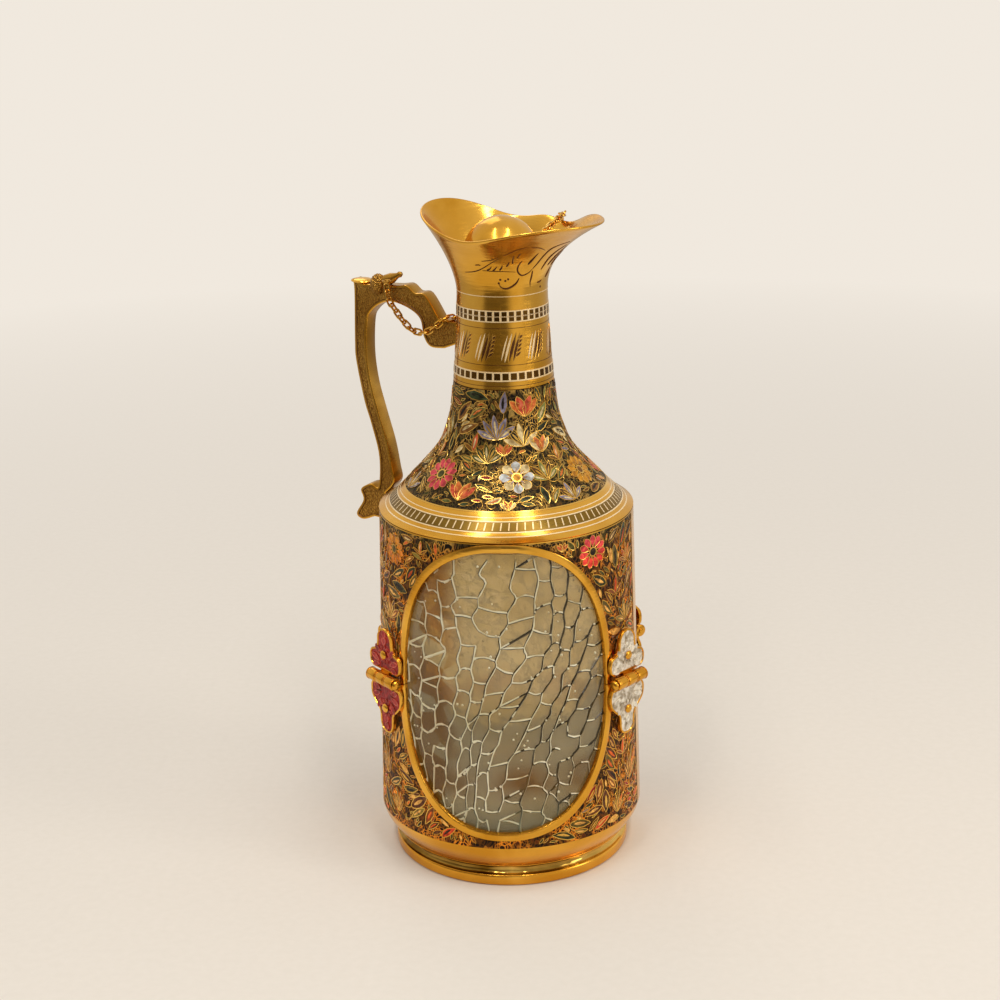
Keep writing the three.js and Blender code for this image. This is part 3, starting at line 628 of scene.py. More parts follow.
def turned(profile, steps=AROUND, closed=True):
    """A profile of (radius, level) spun once round the upright axis."""
    bm = bmesh.new()
    verts = [bm.verts.new((radius, 0, level)) for radius, level in profile]
    ends = verts[1:] + verts[:1] if closed else verts[1:]
    for pair in zip(verts, ends):
        bm.edges.new(pair)
    spin(bm, steps)
    bmesh.ops.remove_doubles(bm, verts=bm.verts, dist=0.001)
    bmesh.ops.recalc_face_normals(bm, faces=bm.faces)
    return bm


def azimuth(point):
    return math.degrees(math.atan2(point.x, -point.y))


def around(angle, radius, level):
    turn = math.radians(angle)
    return Vector((radius * math.sin(turn), -radius * math.cos(turn), level))


def on_surface(radius_of, angle, level):
    """Lays flat work, given as (across, up, proud), on a turned surface round an angle and level."""

    def slope(turn, z):
        return (radius_of(turn, z + 0.2) - radius_of(turn, z - 0.2)) / 0.4

    def lay(across, up, proud):
        z = level
        for _ in range(3):
            z += up / 3 / math.hypot(1, slope(angle, z))
        turn = angle + math.degrees(across / radius_of(angle, z))
        lean = slope(turn, z)
        out = proud / math.hypot(1, lean)
        return around(turn, radius_of(turn, z) + out, z - out * lean)

    return lay


# Shape of the body

FOOT_HEIGHT = 8.8
WALL_FOOT = 18.0
WALL_TOP = 138.2
CONE_TOP = 187.2
SHEET = 0.9
SEAM = 0.3
COLLAR_RADIUS = 18.8
WAIST_RADIUS = 16.8
WAIST_LEVEL = 221.0
HINGE_LEVEL = 77.5
SPOUT_ANGLE = 60.0
HANDLE_ANGLE = -117.5

wall_line = curve_through([(46.2, 9.1), (48.3, 11.9), (50.1, 14.8), (51.1, WALL_FOOT)], 4)
cone_knots = [
    (48.3, 138.5), (44.47, 140.94), (38.27, 147.17), (30.6, 155.16),
    (27.06, 159.2), (23.52, 165.04), (20.28, 175.03), (COLLAR_RADIUS, CONE_TOP),
]
cone_line = curve_through(cone_knots, 7)
neck_line = curve_through([(COLLAR_RADIUS, CONE_TOP + SEAM), (17.36, 205.8), (WAIST_RADIUS, WAIST_LEVEL)], 8)
wall_reading = reading([(point.y, point.x) for point in wall_line] + [(WALL_TOP, 48.3)])
cone_reading = reading([(point.y, point.x) for point in cone_line])
neck_reading = reading([(point.y, point.x) for point in neck_line])


def wall_radius(angle, level):
    return wall_reading(level)


def cone_radius(angle, level):
    return cone_reading(level)


RIM_RADIUS = 29.9
RIM_LEVEL = 246.2
RIM_OUT = [(4.25, -0.29), (5.34, 0.03), (-0.16, 0.1), (0.18, 0.14)]
RIM_UP = [(-0.61, 0.91), (2.91, -0.1), (-1.07, -0.06), (-0.22, -0.49)]
DIP_ANGLE, DIP_DEPTH, DIP_SPREAD = 119.7, 4.4, 15


def waved(waves, turn):
    """Waves from one to four round the mouth, each as (at the spout, a quarter wave past it)."""
    counted = enumerate(waves, 1)
    return sum(crest * math.cos(k * turn) + past * math.sin(k * turn) for k, (crest, past) in counted)


def rim_at(angle):
    """Radius and level of the lip, and how late the flare opens, at an angle round the mouth."""
    turn = math.radians(angle - SPOUT_ANGLE)
    from_dip = (angle - DIP_ANGLE + 180) % 360 - 180
    level = RIM_LEVEL + waved(RIM_UP, turn) - DIP_DEPTH * math.exp(-((from_dip / DIP_SPREAD) ** 2))
    return RIM_RADIUS + waved(RIM_OUT, turn), level, 1.9 + 0.35 * math.cos(turn)


def neck_radius(angle, level):
    if level <= WAIST_LEVEL:
        return neck_reading(level)
    radius, rim, power = rim_at(angle)
    return mix(WAIST_RADIUS, radius, min(1, (level - WAIST_LEVEL) / (rim - WAIST_LEVEL)) ** power)


# Foot, liner, casing and cone


def build_foot():
    bead = [(43.6, 0.03), (45.0, 0.05), (45.75, 0.6), (45.9, 1.6), (45.85, 3.4), (45.6, 4.2)]
    hollow = [(45.4, 4.35), (44.5, 4.7), (43.8, 5.7), (43.8, 6.9), (44.4, 7.9), (45.4, 8.25)]
    lip = [(45.8, 8.35), (46.0, 8.5), (46.0, 8.7), (45.7, 8.85)]
    outside = curve_through(bead, 4) + curve_through(hollow, 4) + curve_through(lip, 3)
    collar = [(45.0, 8.85), (45.0, 11.4), (44.1, 11.4), (44.1, FOOT_HEIGHT)]
    ledge = [(38.2, FOOT_HEIGHT), (38.2, 7.9), (41.1, 7.9), (41.1, 1.9), (43.5, 1.9)]
    bm = turned([tuple(p) for p in outside] + collar + ledge)
    # The hollow takes the brass with painted highlights and dark reflections.
    paint(bm, lambda at, out: 4.3 < at.z < 8.3 and at.xy.length > 43.6, 1)
    finished(bm, "foot_ring_turned", "pitcher", [satin_brass, hollow_brass], ["foot_ring"])


LINER_FOOT, LINER_FLOOR = 9.1, 2.6
BODY_GLASS, NECK_GLASS = 2, 1.7
LINER_BODY = [(49.2, 20.6), (49.8, 24.0), (48.6, 80.0), (47.25, 131.4), (45.7, 133.4)]


def build_liner():
    """A bottle with a thicker wall in its body, which is the part before the shoulder, than in its neck."""
    foot = [(40.8, LINER_FOOT), (43.4, 11.9), (46.2, 16.2)]
    shoulder = [(36.17, 144.5), (28.5, 154.9), (24.96, 158.9), (21.42, 164.7)]
    neck = [(18.2, 174.5), (15.4, 184.5), (15.1, 190.0), (15.1, 217.5)]
    steps = 3
    outer = [tuple(p) for p in curve_through(foot + LINER_BODY + shoulder + neck, steps)]
    body = steps * len(foot + LINER_BODY)
    walls = [BODY_GLASS if i < body else NECK_GLASS for i in range(len(outer))]
    inner = [(radius - wall, level) for (radius, level), wall in zip(outer, walls)]
    rising = [level + (0 if i else LINER_FLOOR) for i, (radius, level) in enumerate(inner[:4])]
    inner[:4] = [(inner[i][0], max(level, 11.7 + 0.5 * i)) for i, level in enumerate(rising)]
    bm = turned([(0, LINER_FOOT), *outer, *reversed(inner), (0, 11.7)])
    finished(bm, "glass_liner_blown", "pitcher", [liner_glass], ["glass_liner"], 50.0)


WINDOW_LEVEL = 80.0
WINDOW_HALF_WIDTH, WINDOW_HALF_HEIGHT = 42.4, 55.2
WINDOW_SQUARENESS = 2.23
WINDOW_WALL = wall_radius(0, WINDOW_LEVEL)


def window_edge(angle, grow):
    """A point on the oval of the window: distance round the wall, and level."""
    power = 2 / WINDOW_SQUARENESS
    across = math.copysign(abs(math.cos(angle)) ** power, math.cos(angle))
    up = math.copysign(abs(math.sin(angle)) ** power, math.sin(angle))
    return across * (WINDOW_HALF_WIDTH + grow), WINDOW_LEVEL + up * (WINDOW_HALF_HEIGHT + grow)


def on_wall(across, level, proud, facing):
    return around(facing + math.degrees(across / WINDOW_WALL), wall_radius(0, level) + proud, level)


def beside_window(angle, level, grow):
    """Below 1 where a place on the wall lies in a window that is made larger all round."""
    across = math.radians((angle + 90) % 180 - 90) * WINDOW_WALL
    width_share = abs(across / (WINDOW_HALF_WIDTH + grow))
    height_share = abs((level - WINDOW_LEVEL) / (WINDOW_HALF_HEIGHT + grow))
    return width_share**WINDOW_SQUARENESS + height_share**WINDOW_SQUARENESS


def beside_seam(angle, room=0.0):
    """The plain strips down both sides of the casing, between the front and the rear panel."""
    return abs(abs(angle) - 90) < 12.5 + room


def window_cutter(facing):
    """A plug through the wall that cuts the window a little larger than the lining of its trim."""
    bm = bmesh.new()
    half = 6
    made = bmesh.ops.create_circle(bm, cap_ends=True, segments=128, radius=1)
    for vert in made["verts"]:
        vert.co.z = -half
    raised = bmesh.ops.extrude_face_region(bm, geom=bm.faces[:])
    for item in raised["geom"]:
        if isinstance(item, bmesh.types.BMVert):
            item.co.z = half
    for vert in bm.verts:
        across, level = window_edge(math.atan2(vert.co.y, vert.co.x), 1.2)
        vert.co = on_wall(across, level, vert.co.z, facing)
    bmesh.ops.triangulate(bm, faces=[face for face in bm.faces if len(face.verts) > 4])
    bmesh.ops.recalc_face_normals(bm, faces=bm.faces)
    bmesh.ops.scale(bm, vec=(METRE, METRE, METRE), verts=bm.verts)
    mesh = bpy.data.meshes.new("window_cutter")
    bm.to_mesh(mesh)
    bm.free()
    return shown("window_cutter", mesh)


def cut_windows(piece, cutters):
    for cutter in cutters:
        tool = piece.modifiers.new("window", "BOOLEAN")
        tool.object = cutter
        tool.solver = "EXACT"
    bpy.context.view_layer.update()
    shaped = bpy.data.meshes.new_from_object(piece.evaluated_get(bpy.context.evaluated_depsgraph_get()))
    piece.modifiers.clear()
    piece.data = shaped
    shaped.shade_smooth()
    shaped.set_sharp_from_angle(angle=math.radians(35))


def build_casing():
    """Two halves that part at hinge level: satin inside, at the ends and down the side strips."""
    cutters = [window_cutter(0), window_cutter(180)]
    low_steps = [WALL_FOOT + 0.4, 30, 45, 60, HINGE_LEVEL - SEAM / 2]
    high_steps = [HINGE_LEVEL + SEAM / 2, 95, 110, 125, WALL_TOP - 0.5, WALL_TOP]
    halves = (("lower", [tuple(p) for p in wall_line], low_steps), ("upper", [], high_steps))
    for part, curved, levels in halves:
        outside = curved + [(wall_radius(0, level), level) for level in levels]
        inside = [(radius - SHEET, level) for radius, level in outside]
        bm = turned(outside + inside[::-1])
        paint(bm, lambda at, out: facing_in(at, out) or beside_seam(azimuth(at)), 1)
        paint(bm, lambda at, out: at.z < WALL_FOOT + 0.3 or at.z > WALL_TOP - 0.5, 1)
        name = part + "_casing"
        metals = [cut_ground, satin_brass]
        piece = finished(bm, name + "_sheet", "pitcher", metals, [name])
        cut_windows(piece, cutters)
    for cutter in cutters:
        bpy.data.objects.remove(cutter)


TRIM_SECTION = [
    (0, -0.9), (0.9, -0.9), (0.9, 0.3), (3, 0.3), (3, 0.55),
    (2.88, 0.8), (2.6, 0.9), (0.45, 0.9), (0.12, 0.75), (0, 0.5),
]


def build_trims():
    """A section of (away from the window, proud of the wall), turned as a ring and drawn out to the oval."""
    ring = 10
    for facing, place in ((0, "front"), (180, "rear")):
        for above, part in ((True, "upper"), (False, "lower")):
            bm = turned([(ring + grow, proud) for grow, proud in TRIM_SECTION], 160)
            for vert in bm.verts:
                angle = math.atan2(vert.co.y, vert.co.x)
                across, level = window_edge(angle, vert.co.xy.length - ring)
                vert.co = on_wall(across, level, vert.co.z, facing)
            cut_level(bm, HINGE_LEVEL + (SEAM if above else -SEAM) / 2, not above, above)
            name = place + "_trim_" + part
            finished(bm, name + "_band", "pitcher", [satin_brass], [name])


def build_cone():
    line = [tuple(p) for p in cone_line]
    inner = [(radius - SHEET, level - 0.25) for radius, level in line[6:-4]]
    skirt = [(46.2, 138.5), (46.2, 134.2), (47.1, 134.2), (47.1, 138.5)]
    bm = turned(line + [(COLLAR_RADIUS - SHEET, CONE_TOP)] + inner[::-1] + skirt)
    paint(bm, lambda at, out: at.z < 147.1 or at.z > 187 or facing_in(at, out), 1)
    metals = [cut_ground, satin_brass]
    finished(bm, "shoulder_cone_spun", "pitcher", metals, ["shoulder_cone"])


def build_neck():
    """Spun as a straight tube of (depth in the sheet, share along the outline), then drawn to its form."""
    tube, flare = 12, 26
    skin = 101.0
    shares = [i / tube for i in range(tube)] + [1 + i / flare for i in range(flare + 1)]
    outer = [(skin, share) for share in shares]
    lip = [(100.85, 2.012), (100.5, 2.018), (100.15, 2.012)]
    inner = [(skin - 1, share) for share in reversed(shares)]
    bm = turned(outer + lip + inner)

    def outline(angle, share):
        radius, rim, _ = rim_at(angle)
        level = mix(CONE_TOP + SEAM, WAIST_LEVEL, share) if share < 1 else mix(WAIST_LEVEL, rim, share - 1)
        if share <= 2:
            return Vector((neck_radius(angle, level), level))
        before = Vector((neck_radius(angle, rim - 0.5), rim - 0.5))
        end = Vector((radius, rim))
        return end + (end - before).normalized() * (share - 2) * 22

    for vert in bm.verts:
        angle, depth, share = azimuth(vert.co), skin - vert.co.xy.length, vert.co.z
        at = outline(angle, share)
        along = outline(angle, min(share + 0.02, 2.0)) - outline(angle, max(min(share, 2.0) - 0.02, 0))
        inwards = Vector((-along.y, along.x)).normalized() * depth * SHEET
        vert.co = around(angle, at.x + inwards.x, at.y + inwards.y)
    spigot = [(16.7, 183.2), (17.6, 183.2), (17.6, 187.9), (16.7, 187.9)]
    join(bm, turned(spigot))
    finished(bm, "neck_and_mouth_raised", "pitcher", [satin_brass], ["neck_and_mouth"], 50.0)


# Engraving and enamel on turned surfaces


PLAQUE_ROOT = 0.12


def plaque(bm, outline, height, rim, rim_index, fill_index, lay, dome=0.0):
    """One cell of enamel: a raised outline with a metal rim round a fill, laid on a surface."""
    verts = [bm.verts.new((x, y, -PLAQUE_ROOT)) for x, y in outline]
    face = bm.faces.new(verts)
    if face.normal.z < 0:
        face.normal_flip()
    raised = bmesh.ops.extrude_face_region(bm, geom=[face])["geom"]
    top = next(item for item in raised if isinstance(item, bmesh.types.BMFace))
    bmesh.ops.translate(bm, vec=(0, 0, height + PLAQUE_ROOT), verts=top.verts)
    everything = set(verts) | set(top.verts)
    for side in {side for vert in verts for side in vert.link_faces}:
        side.material_index = rim_index
    top.normal_update()
    if rim > 0:
        for side in bmesh.ops.inset_region(bm, faces=[top], thickness=rim, depth=0)["faces"]:
            side.material_index = rim_index
            everything |= set(side.verts)
        for vert in top.verts:
            vert.co.z -= 0.06
    top.material_index = fill_index
    if dome:
        fan = bmesh.ops.poke(bm, faces=[top])
        fan["verts"][0].co.z += dome
        everything |= set(fan["verts"])
    for vert in everything:
        vert.co = lay(*vert.co)


def round_outline(radius, sides):
    turns = [2 * math.pi * k / sides for k in range(sides)]
    return [(radius * math.cos(turn), radius * math.sin(turn)) for turn in turns]


def placed(lay, across, up, turn):
    """A surface place turned and shifted within the flat work."""
    cos, sin = math.cos(math.radians(turn)), math.sin(math.radians(turn))
    return lambda x, y, proud: lay(across + x * cos - y * sin, up + x * sin + y * cos, proud)


def round_a_heart(lay, radius, turn, up=0.0):
    """The place of one petal on a ring, turned to point outwards."""
    angle = math.radians(turn)
    return placed(lay, -radius * math.sin(angle), up + radius * math.cos(angle), turn)


def leaf_outline(length, width, bend=0.0, blunt=0.55, points=10):
    """A leaf or petal that starts at its stalk: blunt moves its widest part towards the tip."""
    outline = []
    for i in range(points):
        turn = 2 * math.pi * i / points
        along = (1 - math.cos(turn)) / 2
        fullness = math.sin(math.pi * along ** (1 + (blunt - 0.5) * 2)) if 0 < along < 1 else 0
        across = math.copysign(fullness**0.75, math.sin(turn)) * width / 2
        outline.append((across + bend * (along**2) * length, along * length))
    return outline[::-1]


def leaf(bm, lay, tint, length, width, bend=0.0, blunt=0.5, height=0.22, rim=0.24, points=10, vein=None):
    outline = leaf_outline(length, width, bend, blunt, points)
    plaque(bm, outline, height, rim, GILT, INLAY[tint], lay, 0.05)
    if vein is not None:
        inner = leaf_outline(length * 0.55, width * 0.3, bend * 0.9, blunt, 8)
        inner = [(x, y + 0.2 * length) for x, y in inner]
        plaque(bm, inner, height + 0.04, 0, vein, vein, lay)


def blossom(bm, lay, petals, radius, tint, heart, second=None, plump=1.0):
    """A flower seen from above: rounded petals round a domed heart."""
    inner = radius * 0.26
    width = 2 * math.pi * radius * 0.62 / petals * plump
    for i in range(petals):
        shade = second if second and i % 2 else tint
        spot = round_a_heart(lay, inner, 360 * i / petals)
        leaf(bm, spot, shade, radius - inner, width, 0.0, 0.72, 0.3, 0.16, 12)
    plaque(bm, round_outline(inner * 1.15, 12), 0.42, inner * 0.3, GILT, INLAY[heart], lay, 0.25)


def tulip(bm, lay, size, tint, second):
    for turn, width, shade in ((-34, 0.42, second), (34, 0.42, second), (-13, 0.44, tint), (13, 0.44, tint)):
        bend = -0.1 * math.copysign(1, turn)
        leaf(bm, placed(lay, 0, -size * 0.3, turn), shade, size, size * width, bend, 0.6, 0.28)


def fan_spray(bm, lay, size, tint, second):
    """Five leaves that spread from one stalk."""
    for i, turn in enumerate((-60, -30, 0, 30, 60)):
        shade = second if second and i % 2 else tint
        length = size * (1 - 0.12 * abs(turn) / 60)
        vein = GILT if i % 2 else INLAY["cream"]
        leaf(bm, placed(lay, 0, 0, -turn), shade, length, size * 0.3, 0.0, 0.62, 0.26, 0.26, 10, vein)


def wires(strands, radius, sides=1):
    """Round wires through lists of points, with an optional share of the radius at each point."""
    curve = bpy.data.curves.new("strands", "CURVE")
    curve.dimensions = "3D"
    curve.bevel_depth = radius
    curve.bevel_resolution = sides
    curve.use_fill_caps = True
    for strand in strands:
        spline = curve.splines.new("POLY")
        spline.points.add(len(strand) - 1)
        for point, given in zip(spline.points, strand):
            at, share = given if isinstance(given, tuple) else (given, 1.0)
            point.co = (*at, 1.0)
            point.radius = share
    holder = shown("strands", curve)
    bpy.context.view_layer.update()
    mesh = bpy.data.meshes.new_from_object(holder.evaluated_get(bpy.context.evaluated_depsgraph_get()))
    bpy.data.objects.remove(holder)
    bm = bmesh.new()
    bm.from_mesh(mesh)
    bpy.data.meshes.remove(mesh)
    return bm


def tendril(lay, start, heading, length, curl, steps=12):
    """A stem that curls more and more towards its end."""
    x, y = start
    line = []
    for i in range(steps + 1):
        line.append((lay(x, y, 0.08), mix(1.0, 0.55, i / steps)))
        heading += curl / steps * (0.4 + 1.8 * i / steps)
        x += math.cos(math.radians(heading)) * length / steps
        y += math.sin(math.radians(heading)) * length / steps
    return line


LEAF_SHARES = {"olive": 5, "moss": 6, "leaf_green": 2, "cream": 2, "bronze": 4, "umber": 4}
LEAF_TINTS = [tint for tint, share in LEAF_SHARES.items() for _ in range(share)]
LEAF_TINTS += ["lavender", "orange", "red", "coral"]
VEINS = (GILT, INLAY["cream"], INLAY["orange"], INLAY["night"])


def foliage(bm, radius_of, levels, crowd, taken, allowed):
    """Leaves fitted close together, the longer ones first, in a slow swirl and clear of the flowers."""
    held = {}

    def home(at):
        return tuple(int(part // 10) for part in at)

    def clear(at, reach):
        here = home(at)
        for step in itertools.product((-1, 0, 1), repeat=3):
            near = held.get(tuple(own + by for own, by in zip(here, step)), ())
            if any((at - other).length < reach + room for other, room in near):
                return False
        return True

    def hold(at, reach):
        held.setdefault(home(at), []).append((at, reach))

    for angle, level, size in taken:
        hold(around(angle, radius_of(angle, level), level), size)
    stems = []
    for longest, tries in crowd:
        large = longest > 5
        for _ in range(tries):
            angle, z = random.uniform(-180, 180), random.uniform(*levels)
            if not allowed(angle, z):
                continue
            turn = math.radians(angle)
            swirl = 70 * math.sin(turn * 5 + z * 0.09) + 45 * math.cos(z * 0.17 - turn * 3)
            lay = placed(on_surface(radius_of, angle, z), 0, 0, swirl + random.uniform(-25, 25))
            length = longest * random.uniform(0.85, 1.1)
            width, bend = length * random.uniform(0.32, 0.46), random.uniform(-0.3, 0.3)
            spine = [lay(bend * share**2 * length, share * length, 0) for share in (0.12, 0.5, 0.88)]
            if not all(allowed(azimuth(at), at.z) and clear(at, width * 0.37) for at in spine):
                continue
            for at in spine:
                hold(at, width * 0.37)
            vein = random.choice(VEINS) if large else None
            tint, blunt = random.choice(LEAF_TINTS), random.uniform(0.4, 0.62)
            leaf(bm, lay, tint, length, width, bend, blunt, 0.22, 0.3 if large else 0.2, 10, vein)
            if longest > 4 and random.random() < 0.5:
                stems.append(tendril(lay, (0, 0), -90, length, random.choice((-170, 170)), 7))
    return stems


def plume(bm, lay, size, tints, lean):
    """Long curved leaves that rise together from one stalk and bend the same way."""
    for i, tint in enumerate(tints):
        turn = (i / (len(tints) - 1) - 0.5) * 76
        length = size * (1 - 0.3 * abs(turn) / 38)
        vein = GILT if i % 2 else INLAY["cream"]
        leaf(bm, placed(lay, 0, 0, -turn), tint, length, size * 0.2, lean, 0.5, 0.24, 0.28, 12, vein)


def place_flower(bm, radius_of, flower, taken, stems):
    kind, angle, level, size, tint, second = flower
    lay = on_surface(radius_of, angle, level)
    reach = {"blossom": 1.06, "white": 1.06, "red": 0.3}.get(kind, 0.56)
    taken.append((angle, level, size * reach))
    if kind == "tulip":
        tulip(bm, placed(lay, 0, -size * 0.2, 0), size, tint, second)
    elif kind == "fan":
        fan_spray(bm, placed(lay, 0, -size * 0.45, 8), size, tint, second)
    elif kind == "plume":
        tints = ("umber", tint, "olive", second, "umber")
        plume(bm, placed(lay, 0, -size * 0.5, 0), size, tints, math.copysign(0.22, angle))
        taken.append((angle, level - size * 0.3, size * 0.3))
    elif kind == "white":
        blossom(bm, lay, 8, size, "sky", "yellow", "cream", 1.25)
        for i in range(8):
            leaf(bm, placed(lay, 0, 0, 45 * i), "lavender", size * 0.6, 0.8, 0, 0.6, 0.38, 0.12, 8)
    elif kind == "red":
        leaf(bm, placed(lay, -size / 2, 0, -84), tint, size, size * 0.4, 0.1, 0.5, 0.26, 0.36)
    elif kind == "sprig":
        stalk = placed(lay, 0, -size / 2, 0)
        leaf(bm, stalk, tint, size, size * 0.32, 0.1, 0.5, 0.28, 0.3, 12, INLAY[second])
        for side in (-1, 1):
            spot = placed(lay, 0, -size / 2, -46 * side)
            leaf(bm, spot, "bronze", size * 0.75, size * 0.24, 0.2 * side, 0.5, 0.24, 0.26)
    else:
        blossom(bm, lay, 11, size, tint, second, None, 1.3)
    stems.append(tendril(lay, (0, -size * reach), -100, size * 1.3, 130))
    stems.append(tendril(lay, (size * reach, 0), -30, size * 1.1, -160))


CONE_FLOWERS = [
    ("tulip", 24.4, 181.2, 8.4, "coral", "orange"),
    ("fan", -5.1, 173.4, 9.6, "lavender", None),
    ("white", 10.9, 156.9, 6.7, "sky", None),
    ("blossom", -49.1, 155.8, 7.0, "pink", "olive"),
    ("tulip", -26.5, 152.4, 8.4, "orange", "coral"),
    ("blossom", 66.0, 155.1, 6.4, "yellow", "bronze"),
    ("fan", 20.1, 170.6, 9.0, "cream", "night"),
    ("fan", -12.5, 164.6, 8.6, "olive", "moss"),
    ("fan", 45.5, 150.6, 8.0, "lavender", "umber"),
    ("fan", 33.5, 158.0, 8.6, "leaf_green", "umber"),
    ("tulip", 3.8, 148.8, 4.6, "orange", "cream"),
    ("tulip", 37.0, 167.0, 6.8, "orange", "cream"),
    ("tulip", 1.5, 166.0, 5.0, "orange", "coral"),
    ("red", -11.4, 156.8, 5.4, "red", None),
    ("red", -8.4, 151.2, 4.6, "red", None),
    ("red", -14.6, 150.0, 4.4, "red", None),
    ("sprig", -27.0, 168.0, 7.6, "coral", "cream"),
    ("sprig", 51.0, 163.0, 7.0, "orange", "cream"),
]
WALL_FLOWERS = [
    ("blossom", -56.0, 129.4, 6.3, "yellow", "olive"),
    ("blossom", 42.6, 131.0, 6.5, "pink", "night"),
    ("sprig", -70.0, 108.5, 7.4, "red", "pink"),
    ("sprig", 57.0, 115.0, 8.0, "red", "orange"),
    ("sprig", -38.0, 133.6, 5.6, "coral", "cream"),
    ("tulip", 27.0, 135.2, 3.6, "orange", "coral"),
    ("fan", -60.6, 105.0, 9.4, "bronze", "umber"),
    ("fan", 65.0, 103.0, 9.0, "leaf_green", "moss"),
    ("fan", 68.0, 125.0, 7.6, "bronze", "orange"),
    ("fan", -71.5, 121.0, 7.0, "olive", "moss"),
    ("plume", -66.0, 42.0, 13.0, "bronze", "bronze"),
    ("plume", 66.0, 40.0, 13.0, "bronze", "coral"),
    ("sprig", 60.0, 49.0, 6.8, "coral", "orange"),
    ("plume", -55.0, 28.0, 9.5, "bronze", "red"),
    ("plume", 55.0, 28.0, 9.5, "olive", "coral"),
    ("tulip", -73.0, 25.0, 4.4, "coral", "orange"),
    ("tulip", 73.0, 25.0, 4.4, "coral", "orange"),
]


def flower_piece(bm, name):
    finished(bm, name, "pitcher", inlay_materials, (), 40.0, False)


def build_cone_flowers():
    """The flowers seen in the photo, the middle ones repeated twice round the back, and leaves between."""
    bm = bmesh.new()
    taken, stems = [], []
    repeated = []
    for shift in (-118, 122):
        middle = [flower for flower in CONE_FLOWERS if -45 <= flower[1] <= 58]
        repeated += [(kind, angle + shift, *rest) for kind, angle, *rest in middle]
    for flower in CONE_FLOWERS + repeated + [("blossom", -171.0, 155.5, 6.4, "pink", "olive")]:
        place_flower(bm, cone_radius, flower, taken, stems)
    crowd = ((9.6, 900), (7.2, 2200), (5.0, 4200), (3.2, 5000))
    stems += foliage(bm, cone_radius, (148.0, 186.4), crowd, taken, lambda angle, z: 147.9 < z < 186.8)
    stems = [stem for stem in stems if all(147.9 < at.z < 186.6 for at, _ in stem)]
    join(bm, wires(stems, 0.2))
    flower_piece(bm, "cone_flowers")


def build_wall_flowers():
    rear = [(kind, (360 - angle) % 360 - 180, *rest) for kind, angle, *rest in WALL_FLOWERS]
    halves = (("lower", WALL_FOOT + 1.4, HINGE_LEVEL - 1), ("upper", HINGE_LEVEL + 1, WALL_TOP - 1))
    for part, low, high in halves:
        bm = bmesh.new()
        taken, stems = [], []
        for flower in WALL_FLOWERS + rear:
            if low < flower[2] < high:
                place_flower(bm, wall_radius, flower, taken, stems)

        def allowed(angle, z):
            near_handle = abs(angle - HANDLE_ANGLE) < 6 and z > 119
            if near_handle or beside_seam(angle, 1.2):
                return False
            return low + 0.4 < z < high - 0.4 and beside_window(angle, z, 3.9) > 1

        crowd = ((10.0, 2600), (7.4, 5000), (5.0, 9000), (3.2, 9000))
        stems += foliage(bm, wall_radius, (low, high), crowd, taken, allowed)
        stems = [stem for stem in stems if all(allowed(azimuth(at), at.z) for at, _ in stem)]
        join(bm, wires(stems, 0.2))
        half = (high - low) / 2
        rail = [(-0.25, -half), (0.25, -half), (0.25, half), (-0.25, half)]
        for angle in (-102.5, -77.5, 77.5, 102.5):
            plaque(bm, rail, 0.14, 0, GILT, GILT, on_surface(wall_radius, angle, low + half))
        flower_piece(bm, part + "_casing_flowers")


PALE, CELL, CUT = 1, 2, 3


def hoop(bm, radius_of, low, height, proud, index):
    """A flat band round a turned surface."""
    levels = [mix(low, low + height, share / 4) for share in range(5)]
    outer = [(radius_of(0, level) + proud, level) for level in levels]
    inner = [(radius - proud - 0.15, level) for radius, level in reversed(outer)]
    join(bm, turned(outer + inner), index)


def ladder(bm, radius_of, low, high, count, rail, rung, lean=0.0):
    """A row of dark cells between pale lines: a band of brass darkened as painted shade of its recess, two
    rails and the rungs.
    """
    hoop(bm, radius_of, low, high - low, 0.05, CELL)
    for level in (low, high):
        hoop(bm, radius_of, level - rail / 2, rail, 0.14, PALE)
    height, half = (high - low) / 2, rung / 2
    bar = [(-half - lean, -height), (half - lean, -height), (half + lean, height), (-half + lean, height)]
    for i in range(count):
        plaque(bm, bar, 0.14, 0, PALE, PALE, on_surface(radius_of, 360 * i / count, (low + high) / 2))


REED_STROKES = [
    (-3.4, 9.8, 0.6, 0, PALE),
    (-2.2, 11.2, 0.9, 0, PALE),
    (-0.8, 11.8, 1.6, 0.25, CUT),
    (0.85, 11.0, 1.6, 0.25, CUT),
]


